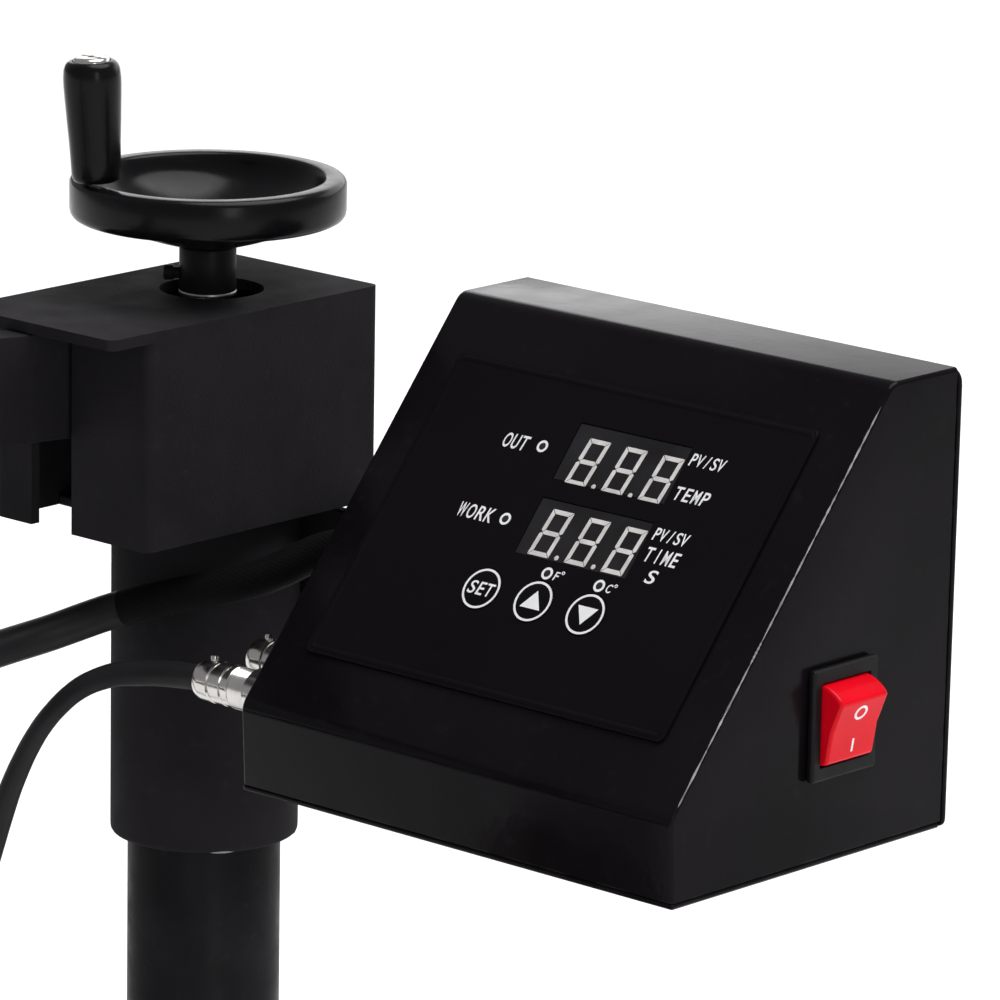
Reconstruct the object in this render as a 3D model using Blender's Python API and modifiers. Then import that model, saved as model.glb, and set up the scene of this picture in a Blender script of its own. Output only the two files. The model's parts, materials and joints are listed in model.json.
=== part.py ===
"""Swing-away combo heat press, set up with its mug clamp.

Metres, +Z up. The origin is the column's axis on the standing surface. The arm and the platen
point along -Y, the control box is at +X.
"""

import math

import bmesh
import bpy
from mathutils import Matrix, Vector

# ---------------------------------------------------------------- driving dimensions
GAP = 0.0003                    # clearance between faces that touch on the real machine
COLLECTION = "swing_away_heat_press"

REACH = 0.350                   # column axis to platen and mug centre
FOOT_HEIGHT = 0.012
BAR_HEIGHT = 0.030
BAR_LENGTH = 0.320
BAR_DEPTH = 0.060
SPINE_WIDTH = 0.050

POST_RADIUS = 0.0212
POST_BORE = 0.0180
POST_TOP = 0.345
SLEEVE_RADIUS = 0.0260
SLEEVE_BOTTOM = 0.2584
SLEEVE_TOP = 0.3509

HEAD_HALF_WIDTH = 0.0295
HEAD_FRONT = -0.0516
HEAD_BACK = 0.0369
HEAD_BOTTOM = 0.3512
HEAD_TOP = 0.4115
HEAD_SHEET = 0.0030
HEAD_OVERHANG = 0.0138
SLOT_LEFT = -0.0153
SLOT_RIGHT = 0.0002
SCREW_HOLE_RADIUS = 0.0143
SCREW_HOLE_CENTRE = (0.0008, 0.0008)

ARM_X = -0.0067                 # the arm's bar sits left of the column's axis
ARM_THICKNESS = 0.0100
ARM_HEIGHT = 0.0296
ARM_TILT = 4.5                  # degrees nose-up at rest, against the top plate's edge
ARM_PIVOT = (ARM_X, -0.0380, 0.3911)
ARM_PIN_RADIUS = 0.0050

WHEEL_RADIUS = 0.0377
WHEEL_TOP = 0.4428
RIM_HEIGHT = 0.0114
RIM_WIDTH = 0.0066
COUPLING_RADIUS = 0.0078
COUPLING_TOP = 0.4235
SCREW_RADIUS = 0.0050
GRIP_CIRCLE = 0.0329
GRIP_ANGLE = -111.1             # degrees about the column, from +X
GRIP_LEAN = (1.75, -1.91)       # degrees about X and Y: its spindle stands a little crooked
GRIP_HEIGHT = 0.0336

BOX_LEFT = 0.0819
BOX_RIGHT = 0.2319
BOX_BOTTOM = 0.3000
LIP = (-0.0692, 0.3236)         # (y, z) of the lip's top edge
BOX_FRONT = -0.0681
PANEL_TOP = (0.0124, 0.4220)
BOX_BACK_TOP = 0.0398
BOX_BACK_BOTTOM = 0.0384
BOX_SHEET = 0.0015

OVERLAY = (0.0940, 0.2182, 0.0188, 0.1104)   # x from, x to, up the slope from, to
OVERLAY_THICKNESS = 0.0014
DISPLAYS = {"display_upper": (0.1441, 0.1822, 0.0813, 0.0981),
            "display_lower": (0.1441, 0.1822, 0.0590, 0.0756)}
KEYS = {"key_set": 0.1400, "key_up": 0.1580, "key_down": 0.1760}
KEY_SLOPE = 0.0470
KEY_RADIUS = 0.0060

ROCKER_Y = (-0.0184, 0.0067)
ROCKER_Z = (0.3231, 0.3527)
ROCKER_BEZEL = 0.0024

PLATEN_SIZE = (0.300, 0.230)
PLATEN_BOTTOM = 0.2660
HANGER = 0.3125                 # from the arm's pivot to the platen's pin, along the arm

MUG_AXIS_Z = 0.1560
MUG_RADIUS = 0.0415
MUG_LENGTH = 0.110
JAW_PIN_DROP = 0.0560           # hinge pin below the mug's axis
LEVER_PIN = (0.0700, 0.1560)    # (x, z)

FLAT = (0.0, 0.0, 0.0)
FRONT = (math.pi / 2, 0.0, 0.0)             # an outline drawn in X and Z
SIDE = (math.pi / 2, 0.0, math.pi / 2)      # an outline drawn in Y and Z
ALONG_X = (0.0, math.pi / 2, 0.0)
ALONG_Y = (math.pi / 2, 0.0, 0.0)

# ---------------------------------------------------------------- scene, materials, helpers
for old in list(bpy.data.objects):
    bpy.data.objects.remove(old, do_unlink=True)

parts = bpy.data.collections.new(COLLECTION)
cutters = bpy.data.collections.new("cutters")
bpy.context.scene.collection.children.link(parts)
bpy.context.scene.collection.children.link(cutters)


def material(name, color, roughness, metallic=0.0):
    made = bpy.data.materials.new(name)
    made.use_nodes = True
    shader = made.node_tree.nodes["Principled BSDF"]
    shader.inputs["Base Color"].default_value = (*color, 1.0)
    shader.inputs["Roughness"].default_value = roughness
    shader.inputs["Metallic"].default_value = metallic
    return made


POWDER = material("powder_coat", (0.020, 0.020, 0.022), 0.60)
ENAMEL = material("gloss_enamel", (0.008, 0.008, 0.009), 0.15)
BLACKED = material("blacked_steel", (0.015, 0.015, 0.016), 0.45)
PHENOLIC = material("phenolic", (0.006, 0.006, 0.006), 0.12)
STEEL = material("steel", (0.45, 0.45, 0.46), 0.35, 1.0)
NICKEL = material("nickel", (0.62, 0.60, 0.56), 0.22, 1.0)
ALUMINIUM = material("aluminium", (0.60, 0.61, 0.62), 0.45, 1.0)
OVERLAY_FILM = material("overlay_film", (0.008, 0.008, 0.010), 0.35)
WINDOW = material("window", (0.030, 0.030, 0.035), 0.20)
KEY_FILM = material("key_film", (0.012, 0.012, 0.014), 0.35)
PLASTIC = material("black_plastic", (0.015, 0.015, 0.015), 0.50)
RED_PLASTIC = material("red_plastic", (0.600, 0.010, 0.010), 0.15)
RUBBER = material("rubber", (0.020, 0.020, 0.020), 0.80)
SILICONE = material("silicone", (0.300, 0.120, 0.060), 0.60)
BOARD = material("circuit_board", (0.020, 0.120, 0.050), 0.50)
FIBRE = material("fibre_board", (0.550, 0.520, 0.450), 0.85)
LEAD_JACKET = material("lead_jacket", (0.010, 0.010, 0.010), 0.60)


def keep(obj, name, finish, location=(0, 0, 0), rotation=FLAT, parent=None):
    """Names an object, puts it among the parts and places it."""
    obj.name = name
    obj.data.name = name
    obj.data.materials.append(finish)
    obj.location = location
    obj.rotation_euler = rotation
    obj.parent = parent
    parts.objects.link(obj)
    return obj


def frame_at(name, location, rotation=FLAT):
    empty = bpy.data.objects.new(name, None)
    empty.location = location
    empty.rotation_euler = rotation
    parts.objects.link(empty)
    return empty


def mesh_object(build):
    bm = bmesh.new()
    build(bm)
    mesh = bpy.data.meshes.new("mesh")
    bm.to_mesh(mesh)
    bm.free()
    return bpy.data.objects.new("object", mesh)


def smooth(obj, angle=35.0):
    obj.data.shade_smooth()
    obj.data.set_sharp_from_angle(angle=math.radians(angle))


def bevel(obj, width, segments=1, angle=40.0):
    rounding = obj.modifiers.new("edges", "BEVEL")
    rounding.width = width
    rounding.segments = segments
    rounding.limit_method = "ANGLE"
    rounding.angle_limit = math.radians(angle)


def cuboid(low, high):
    """A box between two corners, with its origin at its centre."""
    size = [b - a for a, b in zip(low, high)]

    def build(bm):
        bmesh.ops.create_cube(bm, size=1.0)
        bmesh.ops.scale(bm, vec=size, verts=bm.verts)

    obj = mesh_object(build)
    centre = tuple((a + b) / 2 for a, b in zip(low, high))
    return obj, centre


def box(name, low, high, finish, edge=0.0, parent=None):
    obj, centre = cuboid(low, high)
    keep(obj, name, finish, centre, parent=parent)
    if edge:
        bevel(obj, edge)
    return obj


def rod(name, radius, length, finish, location, rotation=FLAT, sides=24, edge=0.0, parent=None):
    """A solid cylinder about its local Z, centred on its location."""
    def build(bm):
        bmesh.ops.create_cone(bm, cap_ends=True, segments=sides, radius1=radius,
                              radius2=radius, depth=length)

    obj = mesh_object(build)
    smooth(obj)
    keep(obj, name, finish, location, rotation, parent)
    if edge:
        bevel(obj, edge)
    return obj


def turned(name, profile, finish, location=(0, 0, 0), rotation=FLAT, sides=32, ring=False,
           parent=None):
    """A profile of (radius, height) run down its outer side, turned about local Z."""
    mesh = bpy.data.meshes.new(name)
    edges = [(i, i + 1) for i in range(len(profile) - 1)]
    if ring:
        edges.append((len(profile) - 1, 0))
    mesh.from_pydata([(r, 0.0, z) for r, z in profile], edges, [])
    obj = bpy.data.objects.new(name, mesh)
    screw = obj.modifiers.new("turn", "SCREW")
    screw.steps = sides
    screw.render_steps = sides
    screw.use_merge_vertices = True
    screw.merge_threshold = 0.00001
    screw.use_smooth_shade = True
    return keep(obj, name, finish, location, rotation, parent)


def outline_curve(outlines, thickness):
    curve = bpy.data.curves.new("outline", "CURVE")
    curve.dimensions = "2D"
    curve.fill_mode = "BOTH"
    curve.extrude = thickness / 2
    for points in outlines:
        spline = curve.splines.new("POLY")
        spline.points.add(len(points) - 1)
        for point, (u, v) in zip(spline.points, points):
            point.co = (u, v, 0.0, 1.0)
        spline.use_cyclic_u = True
    return bpy.data.objects.new("outline", curve)


def solid_mesh(obj):
    """The evaluated curve as a mesh object with its caps welded, in the same place."""
    holder = bpy.context.scene.collection
    holder.objects.link(obj)
    bpy.context.view_layer.update()
    graph = bpy.context.evaluated_depsgraph_get()
    mesh = bpy.data.meshes.new_from_object(obj.evaluated_get(graph))
    bm = bmesh.new()
    bm.from_mesh(mesh)
    bmesh.ops.remove_doubles(bm, verts=bm.verts, dist=0.00001)
    bmesh.ops.recalc_face_normals(bm, faces=bm.faces)
    bm.to_mesh(mesh)
    bm.free()
    bpy.data.objects.remove(obj, do_unlink=True)
    mesh.materials.clear()
    return bpy.data.objects.new("solid", mesh)


def plate(name, outlines, thickness, finish, location=(0, 0, 0), rotation=FLAT, parent=None):
    """A flat piece cut to an outline, its middle plane on its location."""
    return keep(solid_mesh(outline_curve(outlines, thickness)), name, finish, location,
                rotation, parent)


def arc(radius, start, end, steps, centre=(0.0, 0.0)):
    """Points on an arc, angles in degrees."""
    angles = [math.radians(start + (end - start) * i / steps) for i in range(steps + 1)]
    return [(centre[0] + radius * math.cos(a), centre[1] + radius * math.sin(a)) for a in angles]


def circle(radius, sides, centre=(0.0, 0.0)):
    return arc(radius, 0.0, 360.0, sides, centre)[:-1]


def cut(obj, cutter, location=(0, 0, 0), rotation=FLAT, parent=None):
    """Takes the cutter's shape out of the object."""
    cutter.name = f"cut_{obj.name}_{len(obj.modifiers)}"
    cutter.location = location
    cutter.rotation_euler = rotation
    cutter.parent = parent
    cutter.hide_render = True
    cutter.display_type = "WIRE"
    cutters.objects.link(cutter)
    boolean = obj.modifiers.new("cut", "BOOLEAN")
    boolean.operation = "DIFFERENCE"
    boolean.solver = "EXACT"
    boolean.object = cutter


def join(obj, other, location=(0, 0, 0), rotation=FLAT):
    """Welds another shape to the object."""
    cut(obj, other, location, rotation)
    obj.modifiers[-1].operation = "UNION"


def cylinder_cutter(radius, length, sides=24):
    def build(bm):
        bmesh.ops.create_cone(bm, cap_ends=True, segments=sides, radius1=radius,
                              radius2=radius, depth=length)
    return mesh_object(build)


def cut_box(obj, low, high, parent=None):
    cutter, centre = cuboid(low, high)
    cut(obj, cutter, centre, parent=parent)


def smooth_route(points, count):
    """Evenly numbered points on a Catmull-Rom curve through the route's own points."""
    knots = [Vector(p) for p in points]
    knots = [2 * knots[0] - knots[1], *knots, 2 * knots[-1] - knots[-2]]
    spans = len(knots) - 3
    route = []
    for i in range(count):
        place = i / (count - 1) * spans
        span = min(int(place), spans - 1)
        t = place - span
        a, b, c, d = knots[span:span + 4]
        route.append(0.5 * (2 * b + (c - a) * t + (2 * a - 5 * b + 4 * c - d) * t ** 2
                            + (3 * b - a - 3 * c + d) * t ** 3))
    return route


def lead(name, points, diameter, count, finish):
    curve = bpy.data.curves.new(name, "CURVE")
    curve.dimensions = "3D"
    curve.bevel_depth = diameter / 2
    curve.bevel_resolution = 2
    curve.use_fill_caps = True
    spline = curve.splines.new("POLY")
    route = smooth_route(points, count)
    spline.points.add(len(route) - 1)
    for point, place in zip(spline.points, route):
        point.co = (*place, 1.0)
    return keep(bpy.data.objects.new(name, curve), name, finish)


# ---------------------------------------------------------------- base, column and pedestal
BAR_TOP = FOOT_HEIGHT + BAR_HEIGHT
PLATE_THICKNESS = 0.008


def make_base():
    """Two cross bars and a spine, welded into one frame: its outline is an I seen from above."""
    half, bar, spine = BAR_LENGTH / 2, BAR_DEPTH / 2, SPINE_WIDTH / 2
    outline = [(-half, bar), (-half, -bar), (-spine, -bar), (-spine, bar - REACH),
               (-half, bar - REACH), (-half, -bar - REACH), (half, -bar - REACH),
               (half, bar - REACH), (spine, bar - REACH), (spine, -bar), (half, -bar), (half, bar)]
    frame = plate("base_frame", [outline], BAR_HEIGHT, POWDER,
                  (0.0, 0.0, FOOT_HEIGHT + BAR_HEIGHT / 2))
    bevel(frame, 0.003)
    feet = {"foot_column": (0.0, 0.0)}
    for side, x in (("left", -half + 0.024), ("right", half - 0.024)):
        for end, y in (("rear", 0.0), ("front", -REACH)):
            feet[f"foot_{end}_{side}"] = (x, y)
    for name, (x, y) in feet.items():
        turned(name, [(0.0, FOOT_HEIGHT - GAP), (0.018, FOOT_HEIGHT - GAP), (0.020, 0.0),
                      (0.0, 0.0)], RUBBER, (x, y, 0.0), sides=24)


def make_column():
    bottom = BAR_TOP + GAP
    turned("column_post",
           [(POST_RADIUS, POST_TOP), (POST_RADIUS, bottom + PLATE_THICKNESS + 0.004),
            (POST_RADIUS + 0.004, bottom + PLATE_THICKNESS), (0.0290, bottom + PLATE_THICKNESS),
            (0.0290, bottom), (POST_BORE, bottom), (POST_BORE, POST_TOP)],
           BLACKED, sides=48, ring=True)
    turned("post_top_plug",
           [(0.0, SLEEVE_TOP - 0.004 - GAP), (POST_RADIUS - 0.0010, SLEEVE_TOP - 0.004 - GAP),
            (POST_RADIUS - 0.0010, POST_TOP + GAP), (POST_BORE - GAP - 0.0002, POST_TOP + GAP),
            (POST_BORE - GAP - 0.0002, 0.3300), (0.0, 0.3300)], PLASTIC, sides=32)


def make_pedestal():
    bottom = BAR_TOP + GAP
    top = MUG_AXIS_Z - JAW_PIN_DROP - 0.0145
    turned("pedestal_socket",
           [(0.0, top), (0.016, top), (0.016, bottom + 0.012), (0.020, bottom + 0.008),
            (0.028, bottom + 0.008), (0.028, bottom), (0.0, bottom)],
           POWDER, (0.0, -REACH, 0.0), sides=32)
    knob_z = 0.068
    turned("pedestal_knob",
           [(0.0, 0.0330), (0.0110, 0.0330), (0.0125, 0.0300), (0.0125, 0.0200),
            (0.0070, 0.0160), (0.0040, 0.0150), (0.0040, 0.0003), (0.0, 0.0003)],
           PHENOLIC, (0.016, -REACH, knob_z), ALONG_X, sides=20)
    return top


# ---------------------------------------------------------------- mug clamp
SHELL_INNER = MUG_RADIUS + 0.0045
SHELL_OUTER = SHELL_INNER + 0.0030
HEATER_OUTER = SHELL_INNER - GAP
MUG_Y = (-REACH - MUG_LENGTH / 2, -REACH + MUG_LENGTH / 2)


def half_ring(inner, outer, start, end, steps=14):
    return arc(outer, start, end, steps) + arc(inner, end, start, steps)


def knuckle(side):
    """Hinge lug from a half shell's lower edge round the pin: side is -1 fixed, 1 swinging."""
    skin = (SHELL_INNER + SHELL_OUTER) / 2
    edge = [(skin * math.cos(math.radians(a)), skin * math.sin(math.radians(a)))
            for a in (-68.0, -81.0)]
    lug = [*edge, *arc(0.0062, 110.0, 330.0, 12, (0.0, -JAW_PIN_DROP))]
    return [(side * x, z) for x, z in lug]


def make_mug_half(name, side, first, last, lugs):
    centre = (0.0, -REACH, MUG_AXIS_Z)
    shell = plate(f"mug_{name}_shell", [half_ring(SHELL_INNER, SHELL_OUTER, first, last)],
                  MUG_LENGTH - 0.010, POWDER, centre, FRONT)
    for low, high in lugs:
        join(shell, solid_mesh(outline_curve([knuckle(side)], high - low)),
             (0.0, -REACH + (low + high) / 2, MUG_AXIS_Z), FRONT)
    cut(shell, cylinder_cutter(0.0030 + GAP, MUG_LENGTH, 16),
        (0.0, -REACH, MUG_AXIS_Z - JAW_PIN_DROP), ALONG_Y)
    plate(f"mug_{name}_heater", [half_ring(MUG_RADIUS, HEATER_OUTER, first + 2.0, last - 2.0)],
          MUG_LENGTH, SILICONE, centre, FRONT)
    return shell


def make_saddle(floor):
    """Folded floor and left wall, with the lever's forked post welded to the floor."""
    sheet, left, right = 0.004, -0.0585, 0.0840
    x, z = LEVER_PIN
    fold = [(left, 0.0), (right, 0.0), (right, 0.014), (right - sheet, 0.014),
            (right - sheet, sheet), (left + sheet, sheet), (left + sheet, 0.066), (left, 0.066)]
    saddle = plate("mug_saddle", [fold], 0.060, POWDER, (0.0, -REACH, floor), FRONT)
    post, centre = cuboid((x - 0.008, -REACH - 0.013, floor + 0.002),
                          (x + 0.008, -REACH + 0.013, z + 0.008))
    join(saddle, post, centre)
    cut_box(saddle, (x - 0.020, -REACH - 0.0055, z - 0.0240),
            (x + 0.020, -REACH + 0.0055, z + 0.020))
    cut(saddle, cylinder_cutter(0.0030 + GAP, 0.060, 16), (x, -REACH, z), ALONG_Y)


def make_mug_clamp(saddle_bottom):
    floor = saddle_bottom + GAP
    make_saddle(floor)
    fixed = make_mug_half("fixed", -1, 108.0, 262.0, [(-0.018, 0.018)])
    boss, centre = cuboid((-0.0542, -REACH - 0.020, MUG_AXIS_Z - 0.012),
                          (-0.0475, -REACH + 0.020, MUG_AXIS_Z - 0.006))
    join(fixed, boss, centre)
    make_mug_half("swing", 1, -82.0, 72.0, [(-0.045, -0.0185), (0.0185, 0.045)])
    rod("mug_hinge_pin", 0.0030, 0.094, STEEL, (0.0, -REACH, MUG_AXIS_Z - JAW_PIN_DROP),
        ALONG_Y, 16)

    # Cam lever: a lobe against the swinging half, and a straight arm up to the grip.
    x, z = LEVER_PIN
    rod("mug_lever_pin", 0.0030, 0.030, STEEL, (x, -REACH, z), ALONG_Y, 16)
    eye = circle(0.0030 + GAP, 16)
    cam = arc(0.0095, 205.0, 340.0, 8) + [(0.0070, 0.012), (0.0060, 0.052), (-0.0010, 0.052),
                                          (-0.0040, 0.012), (-0.0150, 0.006), (-0.0203, 0.001),
                                          (-0.0170, -0.005)]
    plate("mug_lever", [cam, eye], 0.0090, BLACKED, (x, -REACH, z), FRONT)
    turned("mug_lever_grip",
           [(0.0, 0.0230), (0.0060, 0.0215), (0.0080, 0.0170), (0.0070, 0.0060),
            (0.0060, 0.0), (0.0, 0.0)],
           PHENOLIC, (x + 0.0025, -REACH, z + 0.052 + GAP), sides=20)
    turned("mug_lead_gland",
           [(0.0036, 0.022), (0.0055, 0.020), (0.0075, 0.008), (0.0085, 0.008), (0.0085, 0.0),
            (0.0036, 0.0)],
           PLASTIC, (-0.0585 - GAP, -REACH, floor + 0.030), (0.0, -math.pi / 2, 0.0),
           sides=20, ring=True)


# ---------------------------------------------------------------- head
def make_sleeve():
    inner = POST_RADIUS + 0.0004
    turned("swing_sleeve",
           [(0.0, SLEEVE_TOP), (SLEEVE_RADIUS - 0.001, SLEEVE_TOP),
            (SLEEVE_RADIUS, SLEEVE_TOP - 0.001), (SLEEVE_RADIUS, SLEEVE_BOTTOM + 0.0008),
            (SLEEVE_RADIUS - 0.0008, SLEEVE_BOTTOM), (inner, SLEEVE_BOTTOM),
            (inner, SLEEVE_TOP - 0.004), (0.0, SLEEVE_TOP - 0.004)],
           POWDER, sides=48)


def make_head_box():
    underside = HEAD_TOP - HEAD_SHEET
    roof = underside - GAP
    half, sheet = HEAD_HALF_WIDTH, HEAD_SHEET
    # Folded shell seen from above: back wall, two sides and two front flanges with a slot.
    wrap = [(SLOT_RIGHT, HEAD_FRONT), (half, HEAD_FRONT), (half, HEAD_BACK),
            (-half, HEAD_BACK), (-half, HEAD_FRONT), (SLOT_LEFT, HEAD_FRONT),
            (SLOT_LEFT, HEAD_FRONT + sheet), (-half + sheet, HEAD_FRONT + sheet),
            (-half + sheet, HEAD_BACK - sheet), (half - sheet, HEAD_BACK - sheet),
            (half - sheet, HEAD_FRONT + sheet), (SLOT_RIGHT, HEAD_FRONT + sheet)]
    plate("head_shell", [wrap], roof - HEAD_BOTTOM, POWDER,
          (0.0, 0.0, (roof + HEAD_BOTTOM) / 2))
    inside = half - sheet - GAP
    box("head_floor", (-inside, -0.0310, HEAD_BOTTOM), (inside, HEAD_BACK - sheet - GAP,
        HEAD_BOTTOM + sheet), POWDER)
    top = [(-half, HEAD_FRONT - HEAD_OVERHANG), (half, HEAD_FRONT - HEAD_OVERHANG),
           (half, HEAD_BACK), (-half, HEAD_BACK)]
    plate("head_top_plate", [top, circle(SCREW_HOLE_RADIUS, 32, SCREW_HOLE_CENTRE)], sheet, POWDER,
          (0.0, 0.0, HEAD_TOP - sheet / 2))
    rod("arm_pivot_pin", ARM_PIN_RADIUS, 2 * inside, STEEL, (0.0, ARM_PIVOT[1], ARM_PIVOT[2]),
        ALONG_X, 20)


def make_return_spring():
    """Torsion coil round the pivot pin, to the right of the arm's bar."""
    radius, wire, turns, start, steps = 0.0085, 0.0009, 6, 0.0022, 14
    pitch = 2 * wire + 0.0007
    points = []
    for i in range(turns * steps + 1):
        angle = 2 * math.pi * i / steps
        points.append((start + pitch * i / steps, ARM_PIVOT[1] + radius * math.sin(angle),
                       ARM_PIVOT[2] + radius * math.cos(angle)))
    curve = bpy.data.curves.new("spring", "CURVE")
    curve.dimensions = "3D"
    curve.bevel_depth = wire
    curve.bevel_resolution = 0
    curve.use_fill_caps = True
    spline = curve.splines.new("POLY")
    spline.points.add(len(points) - 1)
    for point, place in zip(spline.points, points):
        point.co = (*place, 1.0)
    keep(bpy.data.objects.new("spring", curve), "arm_return_spring", STEEL)


def make_bracket():
    sheet, back = 0.0040, SLEEVE_RADIUS + GAP
    wall = BOX_LEFT - GAP
    shape = [(-0.016, back), (wall - sheet, back), (wall - sheet, 0.010), (wall, 0.010),
             (wall, back + sheet), (-0.016, back + sheet)]
    plate("box_bracket", [shape], 0.040, POWDER, (0.0, 0.0, 0.3290))


# ---------------------------------------------------------------- arm and platen
def make_arm(frame):
    """The bar's outline is drawn about its pivot, +Y to the back and +Z up."""
    half = ARM_HEIGHT / 2
    front = -(HANGER + 0.075)
    bar = ([(0.058, -half), (0.058, 0.002), (0.008, 0.002), (0.004, half - 0.001),
            (0.003, half)]
           + [(front + 0.004, half), (front, half - 0.004), (front, -half + 0.004),
              (front + 0.004, -half)])
    eye = circle(ARM_PIN_RADIUS + GAP, 20)
    pin_hole = circle(0.0040 + GAP, 16, (-HANGER, -0.004))
    plate("arm_bar", [bar, eye, pin_hole], ARM_THICKNESS, POWDER, FLAT, SIDE, frame)
    turned("arm_grip",
           [(0.0, 0.118), (0.0120, 0.118), (0.0160, 0.114), (0.0160, 0.006), (0.0140, 0.0),
            (0.0, 0.0)],
           RUBBER, (0.0, front - GAP, 0.0), (math.pi / 2, 0.0, 0.0), sides=24, parent=frame)
    rod("hanger_pin", 0.0040, 0.040, STEEL, (0.0, -HANGER, -0.004), ALONG_X, 16, parent=frame)


def make_platen(frame, drop):
    """Pieces are placed from the hanger pin, which is `drop` above the platen's bottom."""
    bottom = -drop
    half_x, half_y = PLATEN_SIZE[0] / 2, PLATEN_SIZE[1] / 2
    plate_top = bottom + 0.014
    board_top = plate_top + GAP + 0.006
    cover_top = bottom + 0.036
    box("heating_plate", (-half_x, -half_y, bottom), (half_x, half_y, plate_top), ALUMINIUM,
        0.002, frame)
    box("insulation_board", (-half_x + 0.012, -half_y + 0.012, plate_top + GAP),
        (half_x - 0.012, half_y - 0.012, board_top), FIBRE, 0.0, frame)
    cover = box("platen_cover", (-half_x, -half_y, plate_top + GAP), (half_x, half_y, cover_top),
                POWDER, 0.003, frame)
    cut_box(cover, (-half_x + 0.002, -half_y + 0.002, plate_top - 0.010),
            (half_x - 0.002, half_y - 0.002, cover_top - 0.002), frame)
    # Hanger: two ears beside the arm on a foot that is bolted to the cover.
    offset = ARM_X
    inside, outside = ARM_THICKNESS / 2 + 0.0008, ARM_THICKNESS / 2 + 0.0058
    foot = cover_top + GAP
    ears = [(-0.030, foot), (0.030, foot), (0.030, foot + 0.008), (outside, foot + 0.008),
            (outside, 0.012), (inside, 0.012), (inside, foot + 0.020), (-inside, foot + 0.020),
            (-inside, 0.012), (-outside, 0.012), (-outside, foot + 0.008),
            (-0.030, foot + 0.008)]
    hanger = plate("platen_hanger", [ears], 0.060, POWDER, FLAT, FRONT, frame)
    cut(hanger, cylinder_cutter(0.0043, 0.060, 16), FLAT, ALONG_X, frame)
    turned("platen_gland",
           [(0.0060, 0.030), (0.0075, 0.028), (0.0100, 0.010), (0.0120, 0.010), (0.0120, 0.0),
            (0.0060, 0.0)],
           PLASTIC, (-offset - 0.030, half_y + GAP, bottom + 0.025), (-math.pi / 2, 0.0, 0.0),
           sides=20, ring=True, parent=frame)


# ---------------------------------------------------------------- pressure wheel
def make_wheel():
    rim_bottom = WHEEL_TOP - RIM_HEIGHT
    rim_inner = WHEEL_RADIUS - RIM_WIDTH
    hub = COUPLING_TOP + GAP
    turned("handwheel",
           [(0.0, hub + 0.0037), (0.0100, hub + 0.0037), (0.0165, hub + 0.0060),
            (0.0240, hub + 0.0094), (rim_inner - 0.0010, hub + 0.0136),
            (rim_inner + 0.0006, WHEEL_TOP - 0.0010), (rim_inner + 0.0018, WHEEL_TOP),
            (WHEEL_RADIUS - 0.0018, WHEEL_TOP), (WHEEL_RADIUS, WHEEL_TOP - 0.0018),
            (WHEEL_RADIUS, rim_bottom + 0.0020), (WHEEL_RADIUS - 0.0020, rim_bottom),
            (rim_inner - 0.0015, rim_bottom), (0.0240, hub + 0.0056), (0.0165, hub + 0.0024),
            (0.0100, hub + 0.0004), (0.0080, hub), (0.0, hub)],
           PHENOLIC, sides=48)
    turned("wheel_coupling",
           [(COUPLING_RADIUS - 0.0006, COUPLING_TOP), (COUPLING_RADIUS, COUPLING_TOP - 0.0006),
            (COUPLING_RADIUS, 0.4100), (SCREW_RADIUS + GAP, 0.4100),
            (SCREW_RADIUS + GAP, COUPLING_TOP)],
           BLACKED, sides=32, ring=True)
    rod("pressure_screw", SCREW_RADIUS, COUPLING_TOP - 0.3990, STEEL,
        (0.0, 0.0, (COUPLING_TOP + 0.3990) / 2), sides=20)
    # The set screw stands out of the coupling on the left, across the line of sight.
    angle = math.radians(-138.0)
    across = COUPLING_RADIUS + 0.0004 + 0.0018
    rod("wheel_set_screw", 0.0021, 0.0036, BLACKED,
        (across * math.cos(angle), across * math.sin(angle), 0.4157),
        (0.0, math.pi / 2, angle), 12)

    make_crank_grip()


def make_crank_grip():
    """The spindle and the grip round it; heights are from the rim's top."""
    angle = math.radians(GRIP_ANGLE)
    place = (GRIP_CIRCLE * math.cos(angle), GRIP_CIRCLE * math.sin(angle), WHEEL_TOP + GAP)
    lean = (math.radians(GRIP_LEAN[0]), math.radians(GRIP_LEAN[1]), 0.0)
    top, spindle, cap = GRIP_HEIGHT, 0.0028, 0.0050
    turned("grip_spindle",
           [(0.0, top + 0.0010), (cap - 0.0004, top + 0.0008), (cap, top - 0.0004),
            (cap, top - 0.0022), (spindle, top - 0.0022), (spindle, 0.0), (0.0, 0.0)],
           NICKEL, place, lean, sides=24)
    bore = spindle + 0.0004
    turned("crank_grip",
           [(cap + 0.0004, top - 0.0003), (0.0067, top - 0.0007), (0.0076, top - 0.0022),
            (0.0078, top - 0.0045), (0.0077, top - 0.0090), (0.0073, top - 0.0170),
            (0.0068, 0.0065), (0.0064, 0.0016), (0.0058, 0.0006), (bore, 0.0006),
            (bore, top - 0.0026), (cap + 0.0004, top - 0.0026)],
           PHENOLIC, place, lean, sides=28, ring=True)


def make_block():
    block = box("pressure_block", (-0.0125, -0.0100, 0.3968), (0.0125, 0.0100, 0.4028), STEEL,
                0.0008)
    cut(block, cylinder_cutter(SCREW_RADIUS + GAP, 0.030, 20), (0.0, 0.0, 0.400))


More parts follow.
